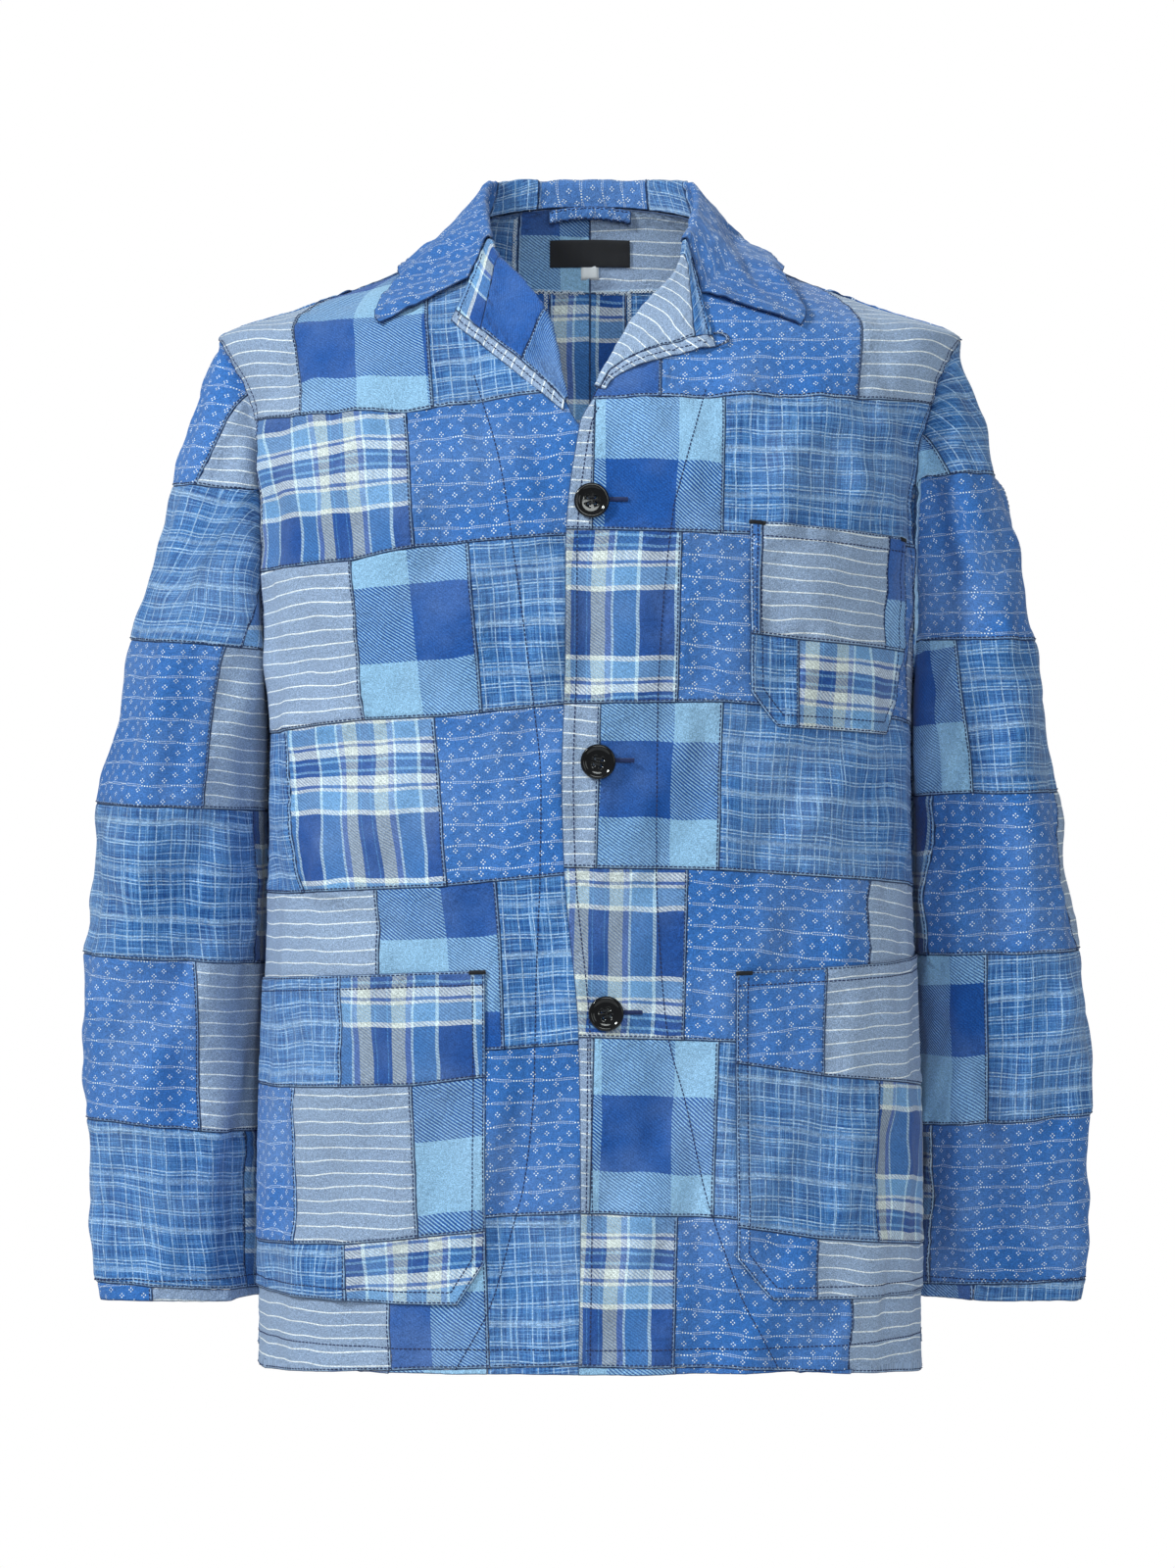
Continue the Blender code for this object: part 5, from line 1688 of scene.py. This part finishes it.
def collar_half(side, places):
    """Points of one half of the collar at the given shares of its length, 0 at the centre back."""
    w = np.array(lapel_lines[side][-1])
    point, normal, across, roll = edge_frame(side, np.float64(0), w, 0.0)
    a = point[[0, 2]]
    centre = point - across * (seam_gap + roll_flat) + normal * roll_radius
    notch = lapel_top(side, a, w, notch_share, roll_radius, 0.0)
    gorge = [lapel_top(side, a, w, v, roll_radius, 0.0) for v in fall_shares if v <= 0.5]
    p_angle, p_level = front_place(*collar_point)
    seam_a = through(collar_knots, seam_angles + (float(inner_angle(side, 0.0)),), places)
    out = unit(through_points(collar_knots, crease_out + (tuple(normal),), places))
    up = through_points(collar_knots, crease_up + (tuple(-across),), places)
    up = unit(up - np.sum(up * out, -1, keepdims=True) * out)
    top = through_points(collar_knots, crease + (tuple(centre - across * roll_radius),), places)
    mid = top - up * roll_radius
    seam = body(seam_a, np.zeros(len(places)))
    first = mid - out * roll_radius
    seam = seam + unit(first - seam) * seam_gap
    rows = [seam + (first - seam) * s for s in np.linspace(0, 1, stand_rows + 1)[:-1]]
    for a in np.linspace(0, math.pi, roll_steps + 1):
        rows.append(mid - out * (roll_radius * math.cos(a)) + up * (roll_radius * math.sin(a)))
    start = mid + out * roll_radius
    m = through_points(collar_knots, fall_middle + (tuple(notch),), places)
    o_angle = through(collar_knots, fall_angle + (float(p_angle),), places)
    o_level = through(collar_knots, fall_level + (float(p_level),), places)
    o = lifted(o_angle, o_level, np.full(len(places), 0.0024))
    corner = smooth(0.80, 1.0, places)[:, None]
    control = 2 * m - (start + o) / 2
    for k, v in enumerate(fall_shares):
        curve = (1 - v) ** 2 * start + 2 * v * (1 - v) * control + v * v * o
        line = start + (m - start) * 2 * v if v <= 0.5 else m + (o - m) * (2 * v - 1)
        if v <= 0.5:
            line = line + (gorge[k] - line[-1])
        rows.append(curve * (1 - corner) + line * corner)
    return np.array(rows)


def collar_points():
    places = np.linspace(0, 1, 60)
    left = collar_half(1, places)
    right = mirrored(collar_half(-1, places), -1)
    middle = (left[:, :1] + right[:, :1]) / 2
    return np.concatenate([left[:, :0:-1], middle, right[:, 1:]], axis=1)


collar_creases = (
    ((506, 205), (430, 310), 0.0045, 0.0011), ((482, 205), (408, 300), 0.0040, -0.0010),
    ((520, 225), (455, 305), 0.0040, -0.0009), ((470, 235), (398, 322), 0.0040, 0.0009),
    ((705, 205), (768, 300), 0.0045, -0.0011), ((728, 215), (800, 312), 0.0045, 0.0012),
    ((690, 225), (745, 300), 0.0040, 0.0010), ((745, 232), (820, 322), 0.0040, -0.0009),
    ((712, 240), (722, 285), 0.0035, -0.0008),
)
lapel_creases = (
    ((640, 300), (735, 352), 0.0040, 0.0006), ((615, 340), (735, 320), 0.0050, -0.0006),
    ((500, 300), (470, 330), 0.0040, 0.0006), ((560, 350), (470, 315), 0.0050, -0.0006),
)


def collar_relief(points, a, b):
    """Creases that run from the fold out to the collar's edge, and none beside the seams of the neck."""
    front = (points[..., 1] < 0.03) & (b > 0.45)
    calm = smooth(0.30, 0.62, b) * smooth(0.0, 0.06, a) * smooth(0.0, 0.06, 1 - a)
    back = 0.6 * smooth(0.0, 0.2, b)
    crease = np.where(front, crease_height(points, collar_creases), 0.0) * calm
    return 0.45 * undulation(points * 2.2) * np.maximum(calm, back) + crease


def lapel_relief(points, a, b):
    calm = smooth(0.45, 0.70, a) * smooth(0.02, 0.15, b) * smooth(0.0, 0.10, 1 - b)
    return (0.35 * undulation(points * 2.0) + crease_height(points, lapel_creases)) * calm


class JACKET_OT_lapels(bpy.types.Operator):
    """Builds both turned lapels with their edge strips"""
    bl_idname = "jacket.lapels"
    bl_label = "Lapels"

    def execute(self, context):
        settings = context.scene.jacket
        for side, name in ((1, "lapel_left"), (-1, "lapel_right")):
            points = lapel_points(side, lapel_starts[side], lapel_lines[side], float(side > 0))
            points = mirrored(points, side)
            sheet = Sheet(points, (0.8, 0.8), (0, -1, 0))
            cloth = Cloth(f"{name}_patches", settings)
            cloth.cell = 0.0030
            strip = sheet.beside(0.0088)
            if side > 0:
                top = lambda a: 0.90 - 0.06 * a
                sheet.lay(cloth, "stripe", (0, strip), (0, top), ("right",), lapel_relief)
                sheet.lay(cloth, "crosshatch", (0, strip), (top, 1), (), lapel_relief)
            else:
                top = lambda a: 0.86 - 0.10 * a
                low = lambda a: 0.46 - 0.05 * a
                sheet.lay(cloth, "plaid", (0, strip), (top, 1), (), lapel_relief, tone=0.5)
                sheet.lay(cloth, "block_dark", (0, strip), (low, top), ("right",), lapel_relief)
                sheet.lay(cloth, "block_mid", (0, strip), (0, low), ("right", "top"), lapel_relief)
            sheet.lay(cloth, "stripe", (strip, 1), (0, 1), (), lapel_relief, ease=1.6, tone=0.9)
            obj = cloth.build()
            wide = float(sheet.width.max())
            dress(obj, cloth, name, (wide, cloth.area / (0.6 * wide)))
            b = np.linspace(0.02, 1, 200)
            lines = list(cloth.lines)
            last = 1 - lapel_stitch / sheet.high
            lines.append(sheet.spot(sheet.beside(lapel_stitch)(b * last), b * last))
            a = np.linspace(0.3, 1, 80) * (1 - lapel_stitch / sheet.width[-1])
            lines.append(sheet.spot(a, np.full(80, last)))
            stitches(f"{name}_stitching", cloth, lines, settings)
        return {"FINISHED"}


class JACKET_OT_collar(bpy.types.Operator):
    """Builds the collar: stand, fold and fall in one sheet of patches"""
    bl_idname = "jacket.collar"
    bl_label = "Collar"

    def execute(self, context):
        settings = context.scene.jacket
        sheet = Sheet(collar_points(), (0.5, 0.30), (0, -1, 0.2))
        cloth = Cloth("collar_patches", settings)
        cloth.cell = 0.0032
        ends = (0.0, 0.315, 0.405, 0.60, 0.695, 1.0)
        # tone -0.7 darkens the whole collar's colour: painted shade
        for k, fabric in enumerate(("dot", "crosshatch", "dot", "crosshatch", "dot")):
            stitched = ("right",) if k < 4 else ()
            sheet.lay(cloth, fabric, (ends[k], ends[k + 1]), (0, 1), stitched, collar_relief,
                      turn_cloth=fabric == "dot", ease=1.3, tone=-0.7)
        obj = cloth.build()
        flat_high = float(sheet.high) * 1.2
        dress(obj, cloth, "collar", (cloth.area / (0.7 * flat_high), flat_high))
        lines = list(cloth.lines)
        a = np.linspace(0, 1, 500)
        inset = 0.0080 / sheet.high
        lines.append(sheet.spot(0.014 + a * 0.972, np.full(500, 1 - inset)))
        lines.append(sheet.spot(0.008 + a * 0.984, np.full(500, 0.022)))
        b = np.linspace(0, 1, 120)
        for end in (0.014, 0.986):
            lines.append(sheet.spot(np.full(120, end), 0.5 + b * (0.5 - inset)))
        for end in (0.004, 0.996):
            lines.append(sheet.spot(np.full(120, end), 0.44 + b * 0.26))
        stitches("collar_stitching", cloth, lines, settings)
        return {"FINISHED"}


# Pockets: outline as x, z in the wearer's left frame, and rows of fabric as on the fronts
pockets = {
    "pocket_chest": dict(
        side=1, inner=0.0994, outer=0.1985, top=(-0.1885, -0.1975), bottom=(-0.3160, -0.3230),
        clip=(0.017, 0.021), seams=(((757, 645), (818, 653), (926, 667)),),
        rows=((("dot", 777), ("stripe", 907), ("block", None, (945, 690))),
              (("crosshatch", 816), ("plaid", None, (843, 696))))),
    "pocket_left": dict(
        side=1, inner=0.0900, outer=None, top=(-0.4700, -0.4630), bottom=(-0.6750, -0.6790),
        clip=(0.023, 0.026),
        seams=(((750, 1085), (838, 1098), (941, 1108)), ((754, 1252), (830, 1264), (948, 1269))),
        rows=((("dot", 839), ("stripe", None)), (("crosshatch", 893), ("plaid", None, (888, 1246))),
              (("dot", 832), ("stripe", None)))),
    "pocket_right": dict(
        side=-1, inner=0.0650, outer=None, top=(-0.4690, -0.4780), bottom=(-0.6780, -0.6770),
        clip=(0.017, 0.027),
        seams=(((282, 1109), (424, 1108), (497, 1099)), ((263, 1266), (355, 1270), (498, 1256))),
        rows=((("plaid", 351, (388, 999)), ("crosshatch", None)),
              (("block", 425, (425, 1242)), ("stripe", 298), ("dot", None)),
              (("plaid", 357, (426, 1289)), ("crosshatch", None)))),
}
pocket_height = 0.0019


def pocket_outline(inner, outer, top, bottom, clip):
    """The pocket's two ends as lengths, and its top and bottom as levels at a length."""
    middle = (top[0] + bottom[0]) / 2
    first = float(front_wrap.length(front_place(inner, middle)[0], middle))
    last_angle = -1.2 if outer is None else front_place(outer, middle)[0]
    last = float(front_wrap.length(last_angle, middle))
    wide, high = clip

    def upper(length):
        return top[0] + (top[1] - top[0]) * (np.asarray(length) - first) / (last - first)

    def lower(length, inset=0.0):
        length = np.asarray(length, float)
        share = (length - first) / (last - first)
        level = bottom[0] + (bottom[1] - bottom[0]) * share + inset
        slope = high / wide
        level = level + np.maximum(high + inset * (math.hypot(1, slope) - 1) - (length - first) * slope, 0)
        if outer is not None:
            level = level + np.maximum(high + inset * (math.hypot(1, slope) - 1) - (last - length) * slope, 0)
        return level

    return first, last, upper, lower


class JACKET_OT_pockets(bpy.types.Operator):
    """Builds the three patch pockets with double stitching and bar tacks"""
    bl_idname = "jacket.pockets"
    bl_label = "Pockets"

    def execute(self, context):
        settings = context.scene.jacket
        for name, plan in pockets.items():
            side = plan["side"]
            outline = pocket_outline(plan["inner"], plan["outer"], plan["top"], plan["bottom"], plan["clip"])
            first, last, upper, lower = outline
            cloth = Cloth(f"{name}_patches", settings)
            seams = [seam_curve(points, side) for points in plan["seams"]]
            panel_patches(cloth, side, front_wrap, seams, plan["rows"], constant(first), constant(last),
                          column_from_picture(side), ("right" if side > 0 else "left", "bottom"), top=upper,
                          bottom=lower, height=pocket_height, lean=column_lean(side), loose=True)
            obj = cloth.build()
            wide = (last - first) * 1.02
            dress(obj, cloth, name, (wide, cloth.area / (0.94 * wide)))
            spot = lambda length, level: body_spot(side, front_wrap, length, level, pocket_height)[0]
            lay = lambda length, level: cloth.laid(spot(length, level))
            seamed_outside = plan["outer"] is None
            lines = list(cloth.lines) + self.edge_lines(lay, outline, seamed_outside)
            stitches(f"{name}_stitching", cloth, lines, settings)
            tacks = [(first - 0.0006, first + 0.0100), (last - 0.0100, last + 0.0006)]
            bars = []
            for ends in tacks[:1 if seamed_outside else 2]:
                run = np.linspace(*ends, 30)
                bars.append(lay(run, upper(run) - 0.0012))
            tack(f"{name}_tacks", cloth, bars, 0.0030)
        return {"FINISHED"}


    def edge_lines(self, lay, outline, seamed_outside):
        """Two rows of stitches round the pocket. The side that lies in the side seam has none."""
        first, last, upper, lower = outline
        lines = []
        for inset, drop in ((0.0014, 0.0012), (0.0078, 0.0090)):
            run = np.linspace(first + inset, last if seamed_outside else last - inset, 200)
            lines.append(lay(run, lower(run, inset)))
            for x in (first + inset,) if seamed_outside else (first + inset, last - inset):
                up = np.linspace(float(lower(x, inset)), float(upper(x)) - 0.002, 120)
                lines.append(lay(np.full(120, x), up))
            run = np.linspace(first + 0.001, last - 0.001, 160)
            lines.append(lay(run, upper(run) - drop))
        return lines


# Buttons
button_radius = 0.011
button_height = 0.0034
button_holes = 0.0026
button_profile = ((0, 0), (0.80, 0), (0.93, 0.10), (0.99, 0.34), (1.0, 0.55), (0.985, 0.78), (0.94, 0.95),
                  (0.885, 1.0), (0.83, 0.97), (0.78, 0.86), (0.73, 0.72), (0.65, 0.635), (0.5, 0.60),
                  (0.0, 0.615))


def button_material():
    if "button" not in made:
        g = Graph("button_gloss")
        swirl = g.noise(g.object_place(), 60.0, 3.0)
        colour = g.mix(g.ramp(swirl, 0.45, 0.75, 0.0, 0.4), (0.003, 0.003, 0.004), (0.010, 0.010, 0.012))
        worn = g.noise(g.object_place(), 900.0, 2.0)
        rough = g.ramp(worn, 0.3, 0.7, 0.05, 0.09)
        made["button"] = g.finish(colour, rough, g.bump(worn, 0.0001, 0.1), 0.0, 0.4)
    return made["button"]


def turned_button(name):
    """A dished button with four holes cut through it."""
    mesh = bpy.data.meshes.new(name)
    count = 56
    points = [(0.0, 0.0, 0.0)]
    for r, h in button_profile[1:-1]:
        for k in range(count):
            a = 2 * math.pi * k / count
            across = r * button_radius
            points.append((across * math.cos(a), across * math.sin(a), h * button_height))
    points.append((0.0, 0.0, button_profile[-1][1] * button_height))
    faces = []
    rings = len(button_profile) - 2
    for k in range(count):
        j = (k + 1) % count
        faces.append((0, 1 + j, 1 + k))
        for ring in range(rings - 1):
            a, b = 1 + ring * count, 1 + (ring + 1) * count
            faces.append((a + k, a + j, b + j, b + k))
        top = 1 + (rings - 1) * count
        faces.append((top + k, top + j, len(points) - 1))
    mesh.from_pydata(points, [], faces)
    button = bpy.data.objects.new(name, mesh)
    collection().objects.link(button)
    cutters = []
    for k in range(4):
        a = math.pi / 4 + k * math.pi / 2
        at = (button_holes * math.cos(a), button_holes * math.sin(a), button_height / 2)
        bpy.ops.mesh.primitive_cylinder_add(vertices=20, radius=0.00115, depth=button_height * 3, location=at)
        cutter = bpy.context.active_object
        cutters.append(cutter)
        cut = button.modifiers.new("hole", "BOOLEAN")
        cut.operation = "DIFFERENCE"
        cut.solver = "EXACT"
        cut.object = cutter
    bpy.context.view_layer.update()
    drilled = bpy.data.meshes.new_from_object(button.evaluated_get(bpy.context.evaluated_depsgraph_get()))
    button.modifiers.clear()
    button.data = drilled
    for cutter in cutters:
        bpy.data.objects.remove(cutter)
    drilled.materials.clear()
    drilled.materials.append(button_material())
    drilled.shade_smooth()
    return button


class JACKET_OT_buttons(bpy.types.Operator):
    """Builds the three buttons, their threads and the worked buttonholes"""
    bl_idname = "jacket.buttons"
    bl_label = "Buttons"

    def execute(self, context):
        turns = (0.10, -0.22, 0.31)
        for name, (x, z), turn in zip(("button_top", "button_middle", "button_bottom"), button_places, turns):
            angle, level = front_place(x, z)
            normal = Vector(outward(angle, level))
            position = Vector(lifted(angle, level, over(1, angle, level) + seam_gap + 0.0003))
            side = Vector((0, 0, 1)).cross(normal).normalized()
            facing = Matrix((side, normal.cross(side), normal)).transposed().to_4x4()
            place = Matrix.Translation(position) @ facing @ Matrix.Rotation(turn, 4, "Z")
            button = turned_button(f"{name}_turned")
            button.matrix_world = place
            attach(button, "root")
            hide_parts(name)
            spots, ways, ups = [], [], []
            for row in (-1, 1):
                for strand in (-0.32, 0.0, 0.32):
                    at = (0.0, row * button_holes * 0.7071 + strand * 0.001, button_height * 0.70)
                    spots.append(place @ Vector(at))
                    ways.append(place.to_3x3() @ Vector((1, 0.06 * strand, 0)))
                    ups.append(normal)
            spindles(f"{name}_thread", spots, ways, ups, 0.0050, 0.00075, "thread_black")
        holes = []
        for x, z in button_places:
            run = np.linspace(x + 0.0100, x + 0.0222, 40)
            angle, level = front_place(run, np.full(40, z + 0.0008))
            base = lifted(angle, level, over(1, angle, level) + 0.0004)
            holes.append((base, outward(angle, level)))
        centres = np.concatenate([h[0] for h in holes])
        ups = np.concatenate([h[1] for h in holes])
        ways = np.tile((0.0, 0.15, 1.0), (len(centres), 1))
        spindles("buttonhole_stitching", centres, ways, ups, 0.0030, 0.0008)
        return {"FINISHED"}


# Trim
def inside_grid(half_width, high, low, depth, columns, rows):
    """A small sheet that hangs inside the back, centred, from one level to another."""
    x, level = np.meshgrid(np.linspace(-half_width, half_width, columns), np.linspace(low, high, rows))
    angle = np.degrees(np.arctan2(section(level, 3) * np.sqrt(1 - (x / section(level, 1)) ** 2), x))
    return lifted(angle, level, np.full(angle.shape, -depth))


def hanger_grid():
    """The hanger strip: an arched band at the collar seam inside the back neck, gathered along its length."""
    x = np.linspace(-0.0270, 0.0270, 120)
    arch = 1 - (x / 0.0270) ** 2
    middle = 0.0215 + 0.0035 * arch
    rows = []
    for v in np.linspace(-1, 1, 18):
        z = middle + 0.0045 * v + 0.0003 * np.sin(x * 1300 + v)
        wall = 0.0798 - 0.10 * (z - 0.027) * (z > 0.027) + 0.30 * np.maximum(0.027 - z, 0) - 4.2 * x * x
        gather = 0.0005 * np.sin(x * 1150 + 1.5 * v) * (0.4 + 0.6 * v * v) + 0.0006 * (1 - v * v)
        rows.append(np.stack([x, wall - 0.0012 - (0.0021 + 0.0010 * arch) - gather, z], axis=-1))
    return np.array(rows)


def loop_grid():
    """The small cloth loop at the corner of the left lapel."""
    angle, level = front_place(*lapel_lines[1][-1])
    origin = lifted(angle, level, 0.0026)
    normal = outward(angle, level)
    h_angle, h_level = front_place(0.0713, -0.0456)
    up = unit(lifted(h_angle, h_level, 0.0034) - origin)
    right = unit(np.cross(up, normal))
    right = right if right[0] > 0 else -right
    rows = []
    for a in np.linspace(-math.pi / 2, math.pi / 2, 41):
        row = []
        for v in np.linspace(0, 1, 9):
            r = 0.0095 - 0.0030 * v
            crown = 0.0004 * math.sin(math.pi * v)
            row.append(origin + right * (seam_gap + r * math.cos(a)) + up * (0.0055 + r * 0.62 * math.sin(a))
                       + normal * crown)
        rows.append(row)
    return np.array(rows)


def plain_material(name, colour, rough, grain):
    """Closely woven tape of one colour."""
    if name not in made:
        g = Graph(name)
        x, y = g.cloth_place()
        warp, weft = g.mul(x, 2 * math.pi / 0.45), g.mul(y, 2 * math.pi / 0.38)
        weave = g.mul(g.math("SINE", warp), g.math("SINE", weft))
        speck = g.noise(g.join(x, y), 2.5, 2.0, 0.7)
        tint = g.mix(g.ramp(speck, 0.3, 0.7), colour, tuple(min(c * grain, 1.0) for c in colour))
        made[name] = g.finish(tint, rough, g.bump(g.add(weave, speck), 0.00012, 0.5), 0.15, 0.3)
    return made[name]


class JACKET_OT_trim(bpy.types.Operator):
    """Builds the hanger strip, the bare neck label and tab, and the lapel's loop"""
    bl_idname = "jacket.trim"
    bl_label = "Trim"

    def execute(self, context):
        settings = context.scene.jacket
        wall = 0.0012 + seam_gap
        label = inside_grid(0.0270, -0.0172, -0.0288, wall + 0.0013, 28, 8)
        tab = inside_grid(0.0060, -0.0265, -0.0338, wall + 0.0006, 8, 8)
        plan = (
            ("hanger_loop", hanger_grid(), "dot", 0.0010, (0.058, 0.010)),
            ("neck_label", label, "label_black", 0.0006, (0.055, 0.0125)),
            ("size_tab", tab, "tab_white", 0.0004, (0.0125, 0.010)),
            ("lapel_loop", loop_grid(), "stripe", 0.0012, (0.028, 0.010)),
        )
        for name, points, fabric, thickness, flat in plan:
            sheet = Sheet(points, (0.5, 0.5), (0, -1, 0))
            cloth = Cloth(f"{name}_cloth", settings)
            cloth.cell = 0.0011
            sheet.lay(cloth, fabric, (0, 1), (0, 1), ease=0.3, turn_cloth=name == "hanger_loop", tone=0.6)
            obj = cloth.build(thickness)
            dress(obj, cloth, name, flat)
            if name in ("hanger_loop", "lapel_loop"):
                side = np.linspace(0.02, 0.98, 120)
                lines = [sheet.spot(side, np.full(120, v)) for v in (0.15, 0.85)]
                if name == "lapel_loop":
                    lines = [sheet.spot(np.full(120, 0.5), side)]
                stitches(f"{name}_stitching", cloth, lines, settings)
        return {"FINISHED"}


# The studio: lights as name, place, what they aim at, size and power. One lights the inside of the neck.
light_colour = (0.94, 1.0, 0.99)
studio_aim = (0.0, 0.0, -0.35)
soft_lights = (
    ("key", (-2.3, -1.7, 1.7), studio_aim, 0.6, 90.0), ("fill", (2.2, -2.2, 0.1), studio_aim, 1.6, 12.0),
    ("front", (0.2, -3.3, 0.9), studio_aim, 1.2, 34.0), ("back", (0.6, 2.6, 1.4), studio_aim, 1.4, 40.0),
)
neck_light = ("neck", (0.0, -camera_distance, -0.030), (0.0, 0.08, -0.050), 0.05, 110.0)
neck_cone = 0.056


def lamp(context, kind, name, place, aim, power):
    """A light that stands at a place and shines on another."""
    data = bpy.data.lights.new(name, kind)
    data.energy = power
    data.color = light_colour
    light = bpy.data.objects.new(name, data)
    light.location = place
    way = Vector(aim) - Vector(place)
    light.rotation_euler = way.to_track_quat("-Z", "Y").to_euler()
    context.scene.collection.objects.link(light)
    return data


class JACKET_OT_studio(bpy.types.Operator):
    """Builds the pale floor, the soft lights and the camera"""
    bl_idname = "jacket.studio"
    bl_label = "Studio"

    def execute(self, context):
        bpy.ops.mesh.primitive_circle_add(vertices=96, radius=1.1, fill_type="NGON", location=(0, 0, -1.05))
        floor = context.active_object
        floor.name = "studio_floor"
        g = Graph("floor_paint")
        tone = g.noise(g.object_place(), 3.0, 2.0)
        paint = g.mix(g.mul(tone, 0.2), (0.88, 0.88, 0.89), (0.80, 0.80, 0.82))
        floor.data.materials.append(g.finish(paint, 0.8, None, 0.0, 0.2))
        world = bpy.data.worlds.new("studio")
        world.use_nodes = True
        nodes, links = world.node_tree.nodes, world.node_tree.links
        soft = nodes["Background"]
        soft.inputs[0].default_value = (0.91, 0.98, 1.0, 1.0)
        soft.inputs[1].default_value = 0.28
        white = nodes.new("ShaderNodeBackground")
        white.inputs[0].default_value = (1.0, 1.0, 1.0, 1.0)
        seen = nodes.new("ShaderNodeLightPath")
        choice = nodes.new("ShaderNodeMixShader")
        links.new(seen.outputs["Is Camera Ray"], choice.inputs[0])
        links.new(soft.outputs[0], choice.inputs[1])
        links.new(white.outputs[0], choice.inputs[2])
        links.new(choice.outputs[0], nodes["World Output"].inputs[0])
        context.scene.world = world
        context.scene.view_settings.view_transform = "Standard"
        for name, place, aim, size, power in soft_lights:
            data = lamp(context, "AREA", name, place, aim, power)
            data.shape = "DISK"
            data.size = size
        name, place, aim, size, power = neck_light
        data = lamp(context, "SPOT", name, place, aim, power)
        data.shadow_soft_size = size
        data.spot_size = neck_cone
        data.spot_blend = 1.0
        data = bpy.data.cameras.new("camera")
        data.sensor_fit = "VERTICAL"
        data.sensor_height = 36.0
        data.lens = focal_pixels / picture[1] * 36.0
        data.clip_end = 50.0
        camera = bpy.data.objects.new("camera", data)
        camera.location = (camera_x, -camera_distance, camera_z)
        camera.rotation_euler = (math.pi / 2, 0, 0)
        context.scene.collection.objects.link(camera)
        context.scene.camera = camera
        return {"FINISHED"}


class JACKET_PT_panel(bpy.types.Panel):
    """Lists the jacket's sizes and the steps that build it"""
    bl_idname = "JACKET_PT_panel"
    bl_label = "Patchwork Jacket"
    bl_space_type = "VIEW_3D"
    bl_region_type = "UI"
    bl_category = "Jacket"

    def draw(self, context):
        settings = context.scene.jacket
        for name in ("cloth", "cell", "groove", "ridge", "pucker", "stitch_pitch", "thread"):
            self.layout.prop(settings, name)
        for step in steps:
            self.layout.operator(step.bl_idname)


steps = (JACKET_OT_fronts, JACKET_OT_backs, JACKET_OT_sleeves, JACKET_OT_lapels, JACKET_OT_collar,
         JACKET_OT_pockets, JACKET_OT_buttons, JACKET_OT_trim, JACKET_OT_studio)
classes = (JacketSettings, *steps, JACKET_PT_panel)


def register():
    for c in classes:
        bpy.utils.register_class(c)
    bpy.types.Scene.jacket = bpy.props.PointerProperty(type=JacketSettings)


def unregister():
    del bpy.types.Scene.jacket
    for c in reversed(classes):
        bpy.utils.unregister_class(c)


def main():
    register()
    for step in steps:
        group, call = step.bl_idname.split(".")
        getattr(getattr(bpy.ops, group), call)()


if __name__ == "__main__":
    main()
